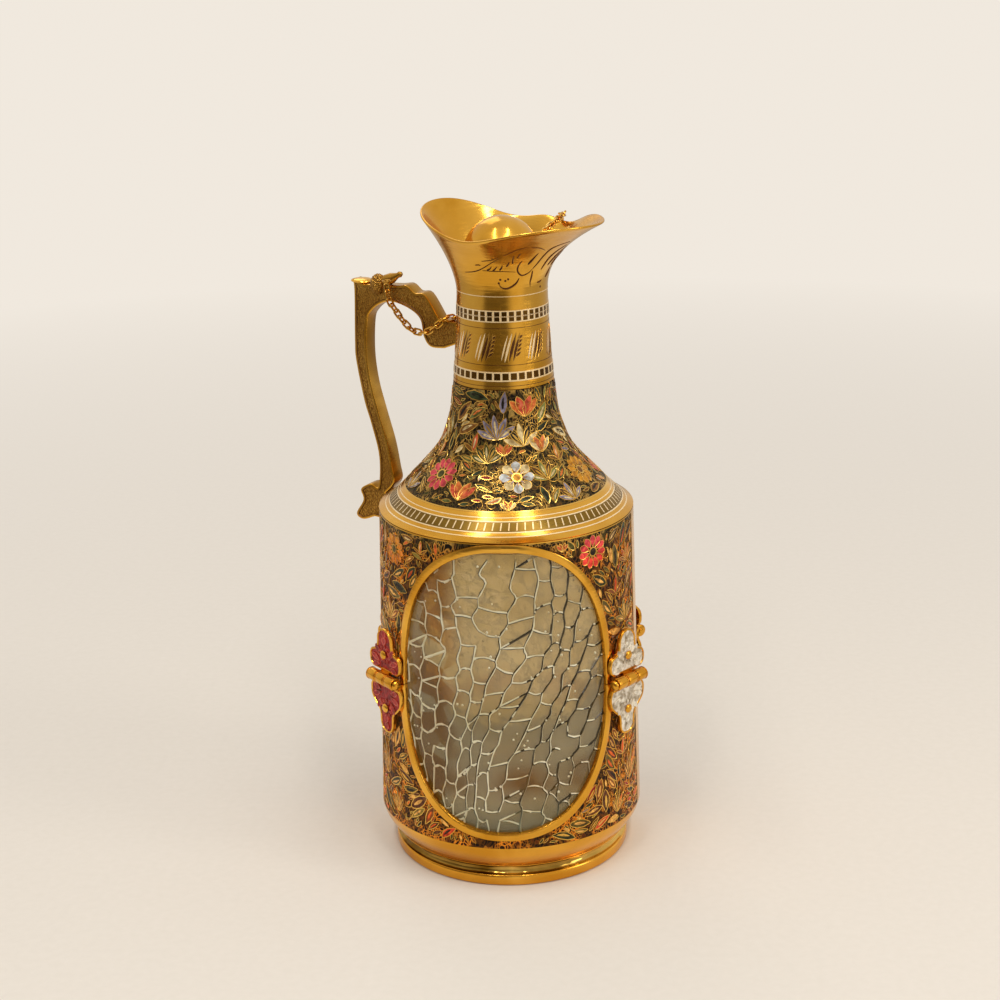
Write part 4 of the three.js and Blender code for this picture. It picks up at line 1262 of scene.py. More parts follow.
def build_bands():
    bm = bmesh.new()
    ladder(bm, cone_radius, 141.2, 144.3, 92, 0.28, 0.42, 0.18)
    for level in (139.9, 145.3):
        hoop(bm, cone_radius, level, 0.22, 0.08, PALE)
    hoop(bm, cone_radius, 146.9, 0.4, 0.14, GILT)
    finished(bm, "shoulder_ladder", "pitcher", [gilt_line, pale_line, dark_cell], (), 40.0, False)
    bm = bmesh.new()
    ladder(bm, neck_radius, 190.7, 193.7, 38, 0.5, 0.75)
    ladder(bm, neck_radius, 212.3, 214.2, 40, 0.4, 0.8)
    ladder(bm, neck_radius, 214.2, 216.2, 40, 0.4, 0.8)
    hoop(bm, neck_radius, 221.4, 0.25, 0.08, PALE)
    for level in (188.6, 196.3, 209.8):
        hoop(bm, neck_radius, level, 0.2, 0.05, CUT)
    reeds = 11
    for i in range(reeds):
        lay = on_surface(neck_radius, 14 + 360 * i / reeds, 203.0)
        for shift, length, width, rim, index in REED_STROKES:
            blade = leaf_outline(length, width, 0.03, 0.45, 10)
            plaque(bm, blade, 0.1, rim, GILT, index, placed(lay, shift - 0.9, -length / 2, -14))
        for k in range(5):
            spot = placed(lay, 0.9 + 0.36 * k, -3.8 + 1.65 * k, -42)
            plaque(bm, leaf_outline(3.0 - 0.2 * k, 1.15, 0.1, 0.5, 8), 0.12, 0.15, GILT, CUT, spot)
    metals = [gilt_line, pale_line, neck_cell, cut_line]
    finished(bm, "neck_bands", "pitcher", metals, (), 40.0, False)


FLOURISH = [
    (0.35, [(-43.5, 230.0), (-28.9, 230.8), (-18.0, 232.3), (-7.3, 234.7), (1.1, 236.6)]),
    (0.25, [(-17.2, 235.2), (-7.8, 235.8), (-0.6, 236.9)]),
    (0.25, [(3.7, 237.5), (10.7, 239.0), (16.5, 240.2), (22.3, 240.8)]),
    (0.2, [(-18.4, 231.5), (-6.3, 231.3), (4.5, 231.2), (17.6, 230.8)]),
    (0.4, [(-25.8, 233.4), (-22.0, 233.6), (-19.5, 233.4)]),
    (0.6, [(-13.4, 231.7), (-10.0, 232.2), (-7.8, 233.2)]),
    (0.6, [(-7.5, 231.4), (-4.6, 232.1), (-2.1, 233.2)]),
    (0.7, [(0.2, 231.7), (2.2, 232.5), (3.4, 233.7)]),
    (0.7, [(7.4, 233.1), (8.9, 233.9), (9.8, 234.9)]),
    (0.6, [(13.4, 234.1), (13.2, 235.8), (13.5, 237.5)]),
    (0.4, [(17.1, 236.4), (18.0, 237.4), (19.1, 238.2)]),
    (0.65, [(22.8, 235.2), (20.1, 233.4), (19.7, 231.3), (23.1, 229.7), (27.4, 229.2), (33.4, 229.9),
            (37.5, 231.3)]),
    (0.45, [(37.5, 231.3), (41.3, 233.5), (43.5, 236.4), (45.8, 239.0), (51.2, 240.3), (60.0, 241.0)]),
    (0.8, [(30.0, 233.3), (32.9, 235.2), (35.8, 237.8)]),
    (0.75, [(22.9, 228.3), (19.8, 226.4), (13.3, 225.0), (6.6, 224.5), (1.1, 225.2), (-1.1, 226.8)]),
    (0.6, [(38.5, 230.6), (39.1, 228.4), (38.5, 226.2), (39.3, 224.4)]),
    (0.55, [(50.8, 230.3), (52.4, 232.7), (53.6, 235.1), (56.6, 237.5), (61.7, 239.6)]),
    (0.55, [(59.6, 231.5), (61.8, 233.4), (64.3, 236.0), (68.3, 238.5)]),
    (0.5, [(68.0, 231.0), (71.0, 233.6), (75.0, 236.4)]),
    (0.65, [(49.9, 225.5), (54.4, 225.6), (58.2, 226.2)]),
    (0.6, [(66.0, 226.6), (69.0, 228.4), (70.0, 230.4)]),
    (0.25, [(26.4, 240.7), (33.8, 240.1), (40.4, 238.8)]),
]
FLOURISH_DOTS = [(0.8, 228.0), (6.6, 227.5), (9.9, 228.1), (57.5, 223.6), (-1.1, 226.6)]


def build_flourish():
    """A cut scroll of feather strokes below the lip. It is a plain ornament of curls and drops."""
    strands = []
    for weight, points in FLOURISH:
        line = curve_through([(angle, level, 0) for angle, level in points], 6)
        strand = []
        for i, at in enumerate(line):
            swell = 0.3 + math.sin(math.pi * (i / (len(line) - 1)) ** 0.7) * weight * 1.4
            strand.append((around(at.x, neck_radius(at.x, at.y) + 0.02, at.y), swell))
        strands.append(strand)
    bm = wires(strands, 0.27, 2)
    for angle, level in FLOURISH_DOTS:
        plaque(bm, round_outline(0.42, 8), 0.1, 0, 0, 0, on_surface(neck_radius, angle, level))
    finished(bm, "neck_flourish", "pitcher", [cut_line], (), 60.0, False)


# Glass net

liner_radius = reading([(level, radius) for radius, level in LINER_BODY])
NET_PITCH, NET_RISE = 7.7, 4.7
NET_FOOT, NET_MIDDLE = 19.0, 78.0
NET_LOW, NET_HIGH = 21.5, 132.8
NET_HALF_ANGLE = 58
SEEDS = 90


def net_knot(column, row):
    """A knot of the crackle: each long line steps left and right in turn, and leans on the right half."""
    side = 1 if (column + row) % 2 == 0 else -1
    level = NET_FOOT + row * NET_RISE + random.uniform(-1.4, 1.4)
    angle = column * NET_PITCH + side * random.uniform(0.1, 1.1) + random.uniform(-0.7, 0.7)
    angle += 1.8 * math.sin(level * 0.07 + column * 1.3)
    share = min(1, max(0, (angle + 42) / 55))
    return angle + 17 * share * share * (3 - 2 * share) * math.tanh((level - NET_MIDDLE) / 26), level


def net_lines():
    """The crackle of one window as long lines and the short ones between them, in (angle, level) points."""
    columns, rows = range(-10, 9), range(25)
    knots = {(column, row): net_knot(column, row) for column in columns for row in rows}
    lines = []
    for column in columns:
        run = []
        for row in rows:
            run.append((*knots[column, row], 0))
            if random.random() < 0.04 or row == rows[-1]:
                lines.append(run)
                run = []
    for column in columns[:-1]:
        for row in rows:
            if (column + row) % 2 or random.random() < 0.1:
                continue
            start, end = Vector(knots[column, row]), Vector(knots[column + 1, row])
            bow = Vector((0, random.uniform(-1.3, 1.3)))
            lines.append([(*start, 0), (*(start.lerp(end, 0.5) + bow), 0), (*end, 0)])
            if random.random() < 0.12 and row + 1 in rows:
                lines.append([(*start, 0), (*knots[column + 1, row + 1], 0)])
    return [line for line in lines if len(line) > 1]


def shade_net(bm, facing):
    """Pale where a ridge faces the light and dark on its other side."""
    for face in bm.faces:
        angle = azimuth(face.calc_center_median())
        turn = math.radians(angle)
        toward_right = face.normal.x * math.cos(turn) + face.normal.y * math.sin(turn)
        shade = 0.5 * math.sin(math.radians(angle - facing))
        face.material_index = 0 if toward_right + 0.6 * face.normal.z > shade else 1


def build_glass_net():
    """The raised crackle on the glass, as a net of ridges, and the seeds in it."""
    for facing, place in ((0, "front"), (180, "rear")):
        strands = []
        for line in net_lines():
            strand = []
            for point in curve_through(line, 3):
                angle, level = point.x, point.y
                seen = abs(angle) < NET_HALF_ANGLE and NET_LOW < level < NET_HIGH
                if seen and beside_window(angle, level, 2.4) < 1:
                    at = around(facing + angle, liner_radius(level) - 0.2, level)
                    strand.append((at, random.uniform(0.6, 1.1)))
                elif len(strand) > 1:
                    strands.append(strand)
                    strand = []
            if len(strand) > 1:
                strands.append(strand)
        bm = wires(strands, 0.55)
        shade_net(bm, facing)
        # The seeds keep the first material, the lit ridge glass, and so are painted pale as glints.
        for _ in range(SEEDS):
            angle, level = random.uniform(-50, 50), random.uniform(26, 130)
            if beside_window(angle, level, 0) < 0.9:
                seed = bmesh.new()
                bmesh.ops.create_icosphere(seed, subdivisions=1, radius=random.uniform(0.3, 0.6))
                move(seed, around(facing + angle, liner_radius(level), level))
                join(bm, seed)
        ridges = [lit_ridge_glass, shaded_ridge_glass]
        finished(bm, place + "_crackle_net", "pitcher", ridges, (), 50.0, False)


# Handle

# The handle's three lines, as shares of its reach out from the neck and of its height.
HANDLE_OUTER = [
    (1.0, 1.0), (0.985, 0.955), (1.0, 0.752), (0.995, 0.67), (0.93, 0.51), (0.865, 0.41), (0.8, 0.28),
    (0.82, 0.152), (0.9, 0.158), (1.0, 0.13), (0.98, 0.085), (1.055, 0.022), (0.99, 0.0), (0.87, 0.02),
]
HANDLE_INNER = [
    (0.745, 0.13), (0.655, 0.18), (0.67, 0.24), (0.71, 0.34), (0.785, 0.46), (0.855, 0.58),
    (0.885, 0.7), (0.87, 0.83), (0.83, 0.875), (0.73, 0.912), (0.61, 0.925), (0.45, 0.905),
    (0.345, 0.868), (0.315, 0.8), (0.25, 0.762), (0.12, 0.762),
]
HANDLE_ARCH = [(0.165, 0.878), (0.29, 0.965), (0.39, 0.97), (0.47, 0.996), (0.59, 0.99), (0.9, 0.985)]
HANDLE_NEAR, HANDLE_FAR = 18.36, 64.4
HANDLE_LOW, HANDLE_HIGH = 123.0, 219.6
HANDLE_THICK = 6.6
EYE_SHARES = (0.628, 1.011)
EYE_OFF = 5.2


def handle_point(out, up):
    return Vector((mix(HANDLE_NEAR, HANDLE_FAR, out), mix(HANDLE_LOW, HANDLE_HIGH, up)))


def handle_place(out, off, level):
    turn = math.radians(HANDLE_ANGLE)
    x, y = out * math.sin(turn) + off * math.cos(turn), -out * math.cos(turn) + off * math.sin(turn)
    return Vector((x, y, level))


def on_handle(out, up, off=0.0):
    """A place from its shares of the handle's reach and height, and its distance off the middle."""
    point = handle_point(out, up)
    return handle_place(point.x, off, point.y)


def build_handle():
    outer, inner, arch = (
        curve_through([handle_point(*p) for p in line], steps)
        for line, steps in ((HANDLE_OUTER, 6), (HANDLE_INNER, 6), (HANDLE_ARCH, 5))
    )
    del outer[1:4]
    leaf_end = [Vector((48.95, 124.45)), Vector((48.7, 134.1))]
    neck_end = [Vector((HANDLE_NEAR, 198.8)), Vector((HANDLE_NEAR, 207.0))]
    outline = outer + leaf_end + inner + neck_end + arch
    bm = plate([(p.x, -HANDLE_THICK / 2, p.y) for p in outline], HANDLE_THICK)
    rims = [edge for edge in bm.edges if abs(edge.verts[0].co.y - edge.verts[1].co.y) < 0.01]
    soften(bm, rims, 0.6, True)
    bm.normal_update()
    paint(bm, lambda at, out: 0.1 < abs(out.y) < 0.97, 3)
    flats = [face for face in bm.faces if len(face.verts) > 30]
    bmesh.ops.inset_region(bm, faces=flats, thickness=0.5, depth=0.0)
    for side in bmesh.ops.inset_region(bm, faces=flats, thickness=0.25, depth=-0.3)["faces"]:
        side.material_index = 1
    for field in flats:
        field.material_index = 2
    for vert in bm.verts:
        vert.co = handle_place(vert.co.x, -vert.co.y, vert.co.z)
    bmesh.ops.recalc_face_normals(bm, faces=bm.faces)
    add_knob(bm)
    metals = [cast_brass, cut_line, chased_brass, satin_brass]
    finished(bm, "handle_cast", "pitcher", metals, ["handle"], 40.0, False)


BUD = ((0, 1.6), (0.35, 2.3), (0.6, 2.0), (0.82, 1.0), (0.92, 1.2), (1.0, 0.7))


def add_knob(bm):
    """The leafy knob on the arch, the cap on its corner, the bud and the eye for the chain."""
    knob, tip, eye = on_handle(0.754, 0.988, 2.2), on_handle(0.55, 1.035), on_handle(*EYE_SHARES, EYE_OFF)
    ball = bmesh.new()
    bmesh.ops.create_icosphere(ball, subdivisions=4, radius=3.3)
    for vert in ball.verts:
        turn = math.atan2(vert.co.y, vert.co.x)
        lobe = abs(math.sin(2.5 * turn + 3 * vert.co.z)) * 0.55 + 0.3 * abs(math.sin(6 * vert.co.z + turn))
        vert.co *= 0.86 + 0.2 * lobe
        vert.co.z *= 1.25
        vert.co += knob
    join(bm, ball, 2)
    cap = bmesh.new()
    bmesh.ops.create_uvsphere(cap, u_segments=36, v_segments=12, radius=1)
    bmesh.ops.scale(cap, vec=(4.6, 3.9, 1.0), verts=cap.verts)
    rotate(cap, math.radians(HANDLE_ANGLE - 90), "Z")
    move(cap, on_handle(0.945, 0.992))
    join(bm, cap, 3)
    bud = [(knob.lerp(tip, share), width) for share, width in BUD]
    join(bm, wires([bud, [(knob, 0.7), (knob.lerp(eye, 0.8), 0.5)]], 1.0, 4))
    loop = link_piece(3.8, 3.8, 24)
    turn_to(loop, eye, handle_place(1, 0, 0), handle_place(0, 1, 0))
    join(bm, loop)


# Hinges

WING = {
    "upper": [
        (0.8, 0.14), (0.97, 0.22), (1.0, 0.38), (0.88, 0.5),
        (0.56, 0.57), (0.48, 0.7), (0.44, 0.85), (0.2, 0.99),
    ],
    "lower": [(0.86, 0.13), (1.0, 0.24), (0.96, 0.42), (0.72, 0.55), (0.46, 0.66), (0.4, 0.88), (0.2, 0.99)],
}
WING_REACH = {"upper": 19.6, "lower": 22.4}
WING_HALF = 9.9
RIVET_SHARE = {"upper": 0.48, "lower": 0.55}
LEAF_OUT = wall_radius(0, HINGE_LEVEL) + SHEET + SEAM
LEAF_THICK = 1.4
BARREL_RADIUS = 2.4
BARREL_HALF = 8.3
KNUCKLE_PITCH = 5.533
KNUCKLE_GAP = 0.15
HINGE_OFF = 8.9
HINGES = {"front_left": -50, "front_right": 50, "rear_right": 130, "rear_left": -130}


def hinge_away(angle):
    """How far a hinge is shifted along its plate, away from the window."""
    return math.copysign(HINGE_OFF, math.sin(math.radians(2 * angle)))


def seat_hinge(bm, angle):
    """From the hinge's own frame, x along the plate and -y out of the wall, to its place on the casing."""
    move(bm, (hinge_away(angle), 0, HINGE_LEVEL))
    rotate(bm, math.radians(angle), "Z")


def rod(bm, radius, start, end, sides=20, soft=0.2):
    """A knuckle along x with softened ends."""
    piece = bmesh.new()
    size = {"radius1": radius, "radius2": radius, "depth": end - start}
    bmesh.ops.create_cone(piece, cap_ends=True, segments=sides, **size)
    rims = [edge for edge in piece.edges if abs(edge.verts[0].co.z - edge.verts[1].co.z) < 0.01]
    soften(piece, rims, soft)
    rotate(piece, math.pi / 2, "Y")
    move(piece, ((start + end) / 2, -LEAF_OUT - BARREL_RADIUS, 0))
    join(bm, piece)


def add_knuckle(bm, start, sign):
    """One knuckle of the barrel, two raised rings on it, and the tongue that holds it to its leaf."""
    end = start + KNUCKLE_PITCH
    rod(bm, BARREL_RADIUS, start + KNUCKLE_GAP, end - KNUCKLE_GAP)
    for ring in (start + 0.5, start + 4.75):
        rod(bm, BARREL_RADIUS + 0.12, ring, ring + 0.28, 20, 0.08)
    tongue = bmesh.new()
    bmesh.ops.create_cube(tongue, size=1)
    bmesh.ops.scale(tongue, vec=(KNUCKLE_PITCH - 2 * KNUCKLE_GAP, LEAF_THICK, 3.2), verts=tongue.verts)
    move(tongue, (start + KNUCKLE_PITCH / 2, -LEAF_OUT - LEAF_THICK / 2, sign * 1.6))
    join(bm, tongue)


def front_face(bm):
    return min((f for f in bm.faces if len(f.verts) > 30), key=lambda f: f.calc_center_median().y)


def build_hinge_leaf(place, angle, part, enamels):
    reach = WING_REACH[part]
    sign = 1 if part == "upper" else -1
    side = [(across * WING_HALF, max(up * reach, 2.8)) for across, up in WING[part]]
    outline = curve_through(side + [(-x, y) for x, y in reversed(side)], 5)
    bm = plate([(p.x, -LEAF_OUT, sign * p.y) for p in outline], -LEAF_THICK)
    soften(bm, front_face(bm).edges[:], 0.3)
    front = front_face(bm)
    bmesh.ops.inset_region(bm, faces=[front], thickness=0.4, depth=0.0)
    bmesh.ops.inset_region(bm, faces=[front], thickness=0.15, depth=-0.25)
    front.material_index = 1
    bmesh.ops.triangulate(bm, faces=[front])
    add_wing_relief(bm, part, sign, reach)
    for number in (0, 2) if part == "lower" else (1,):
        add_knuckle(bm, number * KNUCKLE_PITCH - BARREL_HALF, sign)
    seat_hinge(bm, angle)
    bmesh.ops.recalc_face_normals(bm, faces=bm.faces)
    name = place + "_" + part + "_leaf"
    finished(bm, name + "_cast", "pitcher", [satin_brass, *enamels], [name], 40.0, False)


def add_wing_relief(bm, part, sign, reach):
    """Petals and scrolls raised on the enamel of a leaf, and a rosette round the rivet."""
    level = LEAF_OUT + LEAF_THICK - 0.22
    fill, edge = 1, 2

    def lay(x, y, proud):
        return Vector((x, -level - proud, sign * y))

    for side in (-1, 1):
        for y, turn, length in ((0.3, 60, 5.4), (0.42, 20, 4.6), (0.24, 95, 4.4)):
            outline = leaf_outline(length, 2.3, 0.12 * side, 0.6, 12)
            spot = placed(lay, side * 3.4, y * reach, -turn * side)
            plaque(bm, outline, 0.34, 0.32, edge, fill, spot, 0.12)
    for y in (0.66, 0.8):
        petal = leaf_outline(3.6, 2.6, 0, 0.6, 12)
        plaque(bm, petal, 0.34, 0.32, edge, fill, placed(lay, 0, y * reach, 0), 0.12)
    for k in range(10):
        spot = round_a_heart(lay, 2.2, 36 * k, RIVET_SHARE[part] * reach)
        plaque(bm, leaf_outline(1.5, 1.2, 0, 0.6, 8), 0.3, 0.2, edge, fill, spot)


def build_hinge_pin(place, angle):
    """A drawn wire with a turned head at the end that looks to the window."""
    toward = -math.copysign(1, hinge_away(angle))
    bm = bmesh.new()
    rod(bm, 1.0, -8.6, 8.6, 16)
    profile = [(0, 8.6), (1.75, 8.6), (1.95, 8.9), (1.85, 9.4), (1.35, 9.85), (0.7, 10.05), (0, 10.1)]
    head = turned(profile, 24, False)
    rotate(head, toward * math.pi / 2, "Y")
    move(head, (0, -LEAF_OUT - BARREL_RADIUS, 0))
    join(bm, head)
    seat_hinge(bm, angle)
    name = place + "_hinge_pin"
    finished(bm, name + "_drawn", place + "_pin", [bright_brass], [name], 40.0)


def build_rivet(place, angle, part):
    """From the inner side of the wall, through the leaf, to a domed head."""
    height = RIVET_SHARE[part] * WING_REACH[part] * (1 if part == "upper" else -1)
    inside = math.sqrt(wall_radius(0, HINGE_LEVEL + height) ** 2 - HINGE_OFF**2) - SHEET
    head = LEAF_OUT + LEAF_THICK + 0.3
    profile = [(0, inside), (0.8, inside), (0.8, head - 0.05), (1.65, head), (1.75, head + 0.25)]
    profile += [(1.55, head + 0.55), (1.1, head + 0.8), (0.5, head + 0.9), (0, head + 0.9)]
    bm = turned(profile, 24, False)
    rotate(bm, math.pi / 2, "X")
    move(bm, (0, 0, height))
    seat_hinge(bm, angle)
    name = place + "_" + part + "_rivet"
    finished(bm, name + "_domed", "pitcher", [bright_brass], [name], 40.0)


def build_hinges():
    for place, angle in HINGES.items():
        left = place.endswith("left")
        enamels = (red_leaf_enamel, red_petal_edge) if left else (white_leaf_enamel, white_petal_edge)
        for part in WING:
            build_hinge_leaf(place, angle, part, enamels)
            build_rivet(place, angle, part)
        build_hinge_pin(place, angle)


# Stopper and chain

BALL_RADIUS, BALL_LEVEL = 14.2, 234.0
CORK_TOP = 221.6
LINK_WIRE = 0.8
LINK_REACH = 1.9
SWAG_LINKS, WRAP_LINKS, BEHIND_LINKS, RIM_LINKS, MOUTH_LINKS = 9, 5, 25, 3, 5
NECK_ROUTE = [
    (237, 0.338), (222, 0.35), (210, 0.37), (195, 0.423),
    (180, 0.51), (165, 0.62), (152, 0.742), (142, 0.86),
]
RIM_ROUTE = [(132, 1, 0), (129.5, 0.75, 0.9)]


def link_piece(length, width, steps=18):
    """A ring of round wire, drawn out to a link along x."""
    bm = bmesh.new()
    bmesh.ops.create_circle(bm, segments=8, radius=LINK_WIRE / 2)
    rotate(bm, math.pi / 2, "X")
    move(bm, ((width - LINK_WIRE) / 2, 0, 0))
    spin(bm, steps)
    stretch = (length - width) / 2
    for vert in bm.verts:
        if abs(vert.co.x) > 0.02:
            vert.co.x += math.copysign(stretch, vert.co.x)
    bmesh.ops.recalc_face_normals(bm, faces=bm.faces)
    return bm


def turn_to(bm, centre, along, across):
    along, across = along.normalized(), across.normalized()
    basis = Matrix((along, across, along.cross(across))).transposed().to_4x4()
    bmesh.ops.transform(bm, matrix=Matrix.Translation(centre) @ basis, verts=bm.verts)


def middle_of(node):
    low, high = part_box(node)
    return (low + high) / 2 / METRE


def beside_neck(angle, share):
    """A place one link's reach clear of the neck, at a share of the height from collar to lip."""
    level = mix(CONE_TOP, rim_at(angle)[1], share)
    slope = (neck_radius(angle, level + 0.3) - neck_radius(angle, level - 0.3)) / 0.6
    return around(angle, neck_radius(angle, level) + LINK_REACH * math.hypot(1, slope), level)


def over_rim(angle, out, up):
    radius, level, _ = rim_at(angle)
    return around(angle, radius + out * LINK_REACH * 1.2, level + up * LINK_REACH * 1.2)


def spaced(line, count):
    """Places at equal steps along a line, without its ends."""
    steps = ((after - before).length for before, after in zip(line, line[1:]))
    gone = [0.0, *itertools.accumulate(steps)]
    where = reading([(reach, i) for i, reach in enumerate(gone)])
    places = []
    for k in range(count):
        at = where(gone[-1] * (k + 1) / (count + 1))
        i = min(int(at), len(line) - 2)
        places.append(line[i].lerp(line[i + 1], at - i))
    return places


def nodes(run, count):
    return [f"chain_{run}_link_{i + 1}" for i in range(count)]


def chain_frames():
    """Each link lies along the chain and a quarter turn from the last."""
    named = (("swag", SWAG_LINKS), ("wrap", WRAP_LINKS), ("mouth", MOUTH_LINKS))
    swag, wrap, mouth = ([middle_of(node) for node in nodes(*run)] for run in named)
    up_neck = [beside_neck(*at) for at in NECK_ROUTE]
    route = [wrap[-1], *up_neck, *(over_rim(*at) for at in RIM_ROUTE), mouth[0]]
    centres = swag + wrap + spaced(curve_through(route, 12), BEHIND_LINKS) + mouth
    befores = [on_handle(*EYE_SHARES, EYE_OFF), *centres]
    afters = [*centres[1:], middle_of("stopper_eyelet")]
    side = handle_place(0, 1, 0)
    frames = []
    for i, (before, centre, after) in enumerate(zip(befores, centres, afters)):
        along = (after - before).normalized()
        side = (side - along * side.dot(along)).normalized()
        frames.append((centre, along, side.copy() if i % 2 == 0 else along.cross(side)))
    return frames


def chain_run(frames):
    bm = bmesh.new()
    for centre, along, across in frames:
        link = link_piece(4.7, 3.0)
        turn_to(link, centre, along, along.cross(across))
        join(bm, link)
    return bm


def build_chain():
    """The chain as runs of links: the swag rides with its own body, the wrap and the run behind the neck
    with the pitcher, the links over the rim with no body, and the eyelet ring with the stopper.
    """
    frames = chain_frames()
    rear = SWAG_LINKS + WRAP_LINKS
    rim_start = rear + BEHIND_LINKS - RIM_LINKS
    runs = [
        ("chain_swag", "chain_swag", 0, SWAG_LINKS, nodes("swag", SWAG_LINKS)),
        ("chain_wrap", "pitcher", SWAG_LINKS, rear, nodes("wrap", WRAP_LINKS)),
        ("chain_behind_neck", "pitcher", rear, rim_start, ["chain_rear_run"]),
        ("chain_over_rim", None, rim_start, len(frames), nodes("mouth", MOUTH_LINKS)),
    ]
    for name, body, start, end, replaced in runs:
        piece = finished(chain_run(frames[start:end]), name, body, [chain_brass], replaced)
    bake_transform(piece)
    ring = link_piece(4.6, 4.6, 24)
    _, along, across = frames[-1]
    turn_to(ring, middle_of("stopper_eyelet"), along, across.cross(along))
    finished(ring, "stopper_eyelet_ring", "stopper", [chain_brass], ["stopper_eyelet"])


def build_stopper():
    bm = bmesh.new()
    bmesh.ops.create_uvsphere(bm, u_segments=72, v_segments=36, radius=BALL_RADIUS)
    move(bm, (0, 0, BALL_LEVEL))
    cut_level(bm, CORK_TOP + SEAM, False, True)
    finished(bm, "stopper_ball_polished", "stopper", [ball_brass], ["stopper_ball"])
    profile = [(2.3, 200.6), (12.0, 200.6), (12.4, 201.0), (12.99, 221.1), (12.6, CORK_TOP), (2.3, CORK_TOP)]
    finished(turned(profile, 64), "stopper_cork_cut", "stopper", [cork_bark], ["stopper_cork"])


# Put together

for build in (
    build_foot, build_liner, build_casing, build_trims, build_cone, build_neck, build_cone_flowers,
    build_wall_flowers, build_bands, build_flourish, build_glass_net, build_handle, build_hinges,
    build_stopper, build_chain,
):
    build()


for name in ("base_plate", "stopper_stem"):
    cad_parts[name].data.materials.clear()
    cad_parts[name].data.materials.append(satin_brass)

# Studio


LENS, SENSOR = 72.79, 36
CAMERA_PLACE = (-0.0023, -0.732, 0.3748)
PITCH, ROLL, TURN = math.radians(17.83), math.radians(-1.12), math.radians(2.9)
LAMPS_AIM = 0.12
WARM_LIGHT = (1.0, 0.97, 0.92)
PAPER = colour(240, 232, 221)


def camera():
    """The camera as it was worked out from the photo."""
    data = bpy.data.cameras.new("camera")
    data.sensor_width = SENSOR
    data.lens = LENS
    viewer = shown("camera", data)
    forward = Vector((0, math.cos(PITCH), -math.sin(PITCH)))
    right, up = Vector((1, 0, 0)), Vector((0, math.sin(PITCH), math.cos(PITCH)))
    level_right = math.cos(ROLL) * right + math.sin(ROLL) * up
    level_up = -math.sin(ROLL) * right + math.cos(ROLL) * up
    basis = Matrix((level_right, level_up, -forward)).transposed().to_4x4()
    viewer.matrix_world = Matrix.Rotation(TURN, 4, "Z") @ Matrix.Translation(CAMERA_PLACE) @ basis
    bpy.context.scene.camera = viewer


def softbox(name, angle, height, distance, size, power, tint, along=(0, 0, 1)):
    """A soft lamp that faces the object, with its longer side turned along a direction."""
    data = bpy.data.lights.new(name, "AREA")
    data.shape = "RECTANGLE"
    data.size, data.size_y = size
    data.energy = power
    data.color = tint
    lamp = shown(name, data)
    lift = math.radians(height)
    place = around(angle, distance * math.cos(lift), distance * math.sin(lift) + LAMPS_AIM)
    back = (place - Vector((0, 0, LAMPS_AIM))).normalized()
    up = (Vector(along) - back * back.dot(Vector(along))).normalized()
    basis = Matrix((up.cross(back), up, back)).transposed().to_4x4()
    lamp.matrix_world = Matrix.Translation(place) @ basis


def looked_at(tree, rays):
    """1 for what the camera sees straight, in metal or through glass, and 0 for light on the object."""
    mirrored = maths(tree, "MAXIMUM", rays["Is Glossy Ray"], rays["Is Transmission Ray"])
    return maths(tree, "MAXIMUM", rays["Is Camera Ray"], mirrored)


def dark_sector(tree, place, far):
    """Where the floor is dark in the mirror of the metal: in front, and by half beside all but a stripe."""
    x, y, _ = parts_of(tree, place)
    turn = turn_of(tree, x, y)
    middle = between(tree, turn, (-0.95, -0.7), (0.22, 0.42))
    stripe = between(tree, turn, (0.34, 0.5), (0.9, 1.1))
    sides = maths(tree, "SUBTRACT", 0.5, times(tree, stripe, 0.5))
    return times(tree, maths(tree, "MAXIMUM", middle, sides), remap(tree, far, 0.38, 0.5))


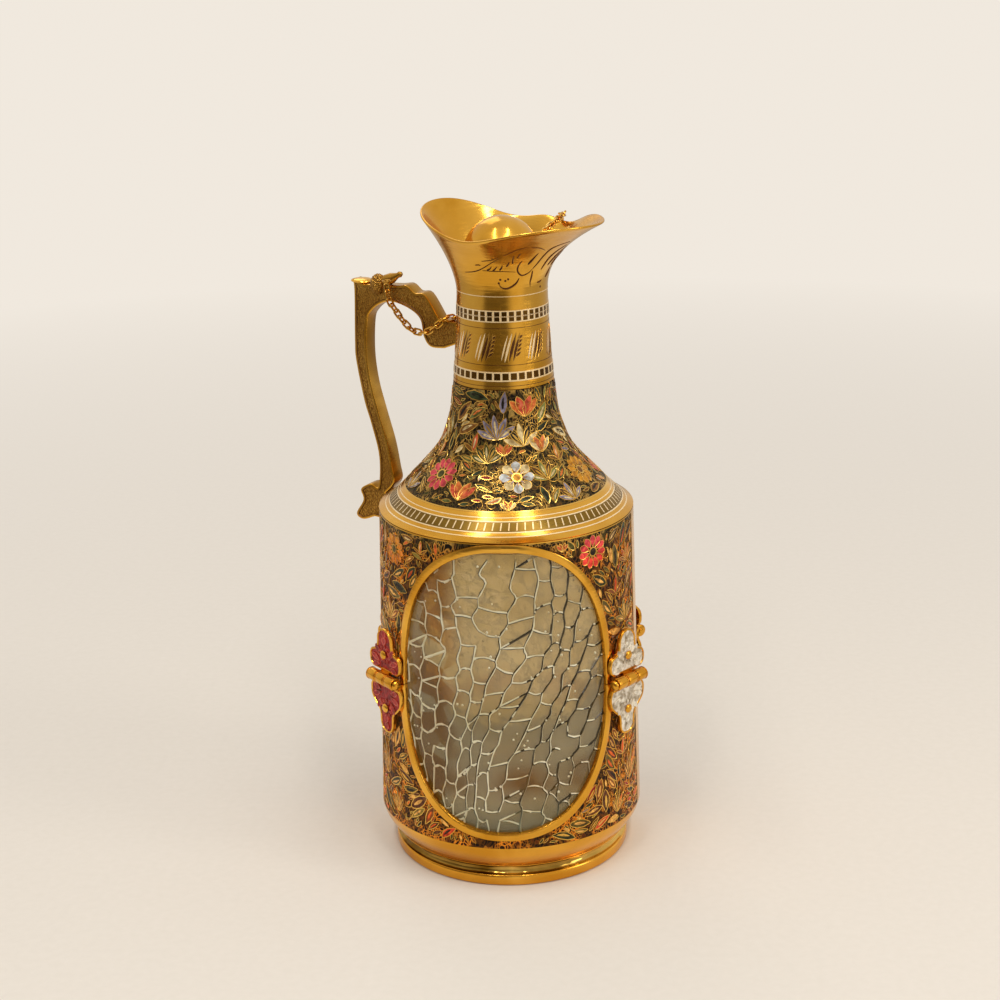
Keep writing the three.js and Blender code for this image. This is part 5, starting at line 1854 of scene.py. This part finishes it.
def build_floor():
    """Pale paper that goes over into its own plain light further out."""
    bm = bmesh.new()
    bmesh.ops.create_grid(bm, x_segments=1, y_segments=1, size=14)
    mesh = bpy.data.meshes.new("floor")
    bm.to_mesh(mesh)
    bm.free()
    floor = shown("floor", mesh)
    paper, tree, shader = new_material("floor_paper")
    place = object_place(tree)
    tone = blend_of(tree, noise(tree, place, 300.0, 2.0), colour(236, 228, 216), colour(242, 234, 223))
    distance = tree.nodes.new("ShaderNodeVectorMath")
    distance.operation = "LENGTH"
    put(tree, place, distance.inputs[0])
    far = distance.outputs["Value"]
    rays = tree.nodes.new("ShaderNodeLightPath").outputs
    dark = times(tree, times(tree, dark_sector(tree, place, far), rays["Is Glossy Ray"]), 0.85)
    away = times(tree, remap(tree, far, 0.2, 1.1), looked_at(tree, rays))
    base = blend_of(tree, away, tone, BLACK)
    glow = blend_of(tree, away, BLACK, PAPER)
    put(tree, blend_of(tree, dark, base, colour(60, 44, 24)), shader.inputs["Base Color"])
    put(tree, blend_of(tree, dark, glow, BLACK), shader.inputs["Emission Color"])
    for label, value in {"Emission Strength": 1.0, "Specular IOR Level": 0.0, "Roughness": 0.7}.items():
        shader.inputs[label].default_value = value
    mesh.materials.append(paper)


def build_room():
    """The world: plain paper to the camera, soft grey light, and a dimmer side for the metal to mirror."""
    world = bpy.data.worlds.new("studio")
    bpy.context.scene.world = world
    world.use_nodes = True
    tree = world.node_tree
    rays = tree.nodes.new("ShaderNodeLightPath").outputs
    x, y, z = parts_of(tree, tree.nodes.new("ShaderNodeTexCoord").outputs["Generated"])
    dark_side = maths(tree, "COSINE", maths(tree, "ADD", turn_of(tree, x, y), math.radians(38)))
    shade = remap(tree, dark_side, 0.45, 0.95, 0.0, 0.78)
    low = remap(tree, z, 0.35, 0.75, 1.0, 0.0)
    room = blend_of(tree, times(tree, shade, low), colour(226, 216, 200), colour(92, 74, 52))
    lit = blend_of(tree, rays["Is Glossy Ray"], colour(184, 182, 180), room)
    plain = maths(tree, "MAXIMUM", rays["Is Camera Ray"], rays["Is Transmission Ray"])
    sky = tree.nodes["Background"]
    put(tree, blend_of(tree, plain, lit, PAPER), sky.inputs["Color"])
    sky.inputs["Strength"].default_value = 1.0


def build_lamps():
    for name, angle in (("left_strip", -31), ("right_strip", 33)):
        softbox(name, angle, 64, 1.2, (0.09, 1.0), 3.9, WARM_LIGHT, (0, 1, 0))
    softbox("window_side", 68, 18, 1.3, (0.35, 0.8), 3.0, (1.0, 0.96, 0.9))
    softbox("far_side", -160, 42, 1.4, (0.5, 0.7), 1.4, (1.0, 0.95, 0.88))


camera()
build_floor()
build_room()
build_lamps()
scene = bpy.context.scene
scene.view_settings.view_transform = "Standard"
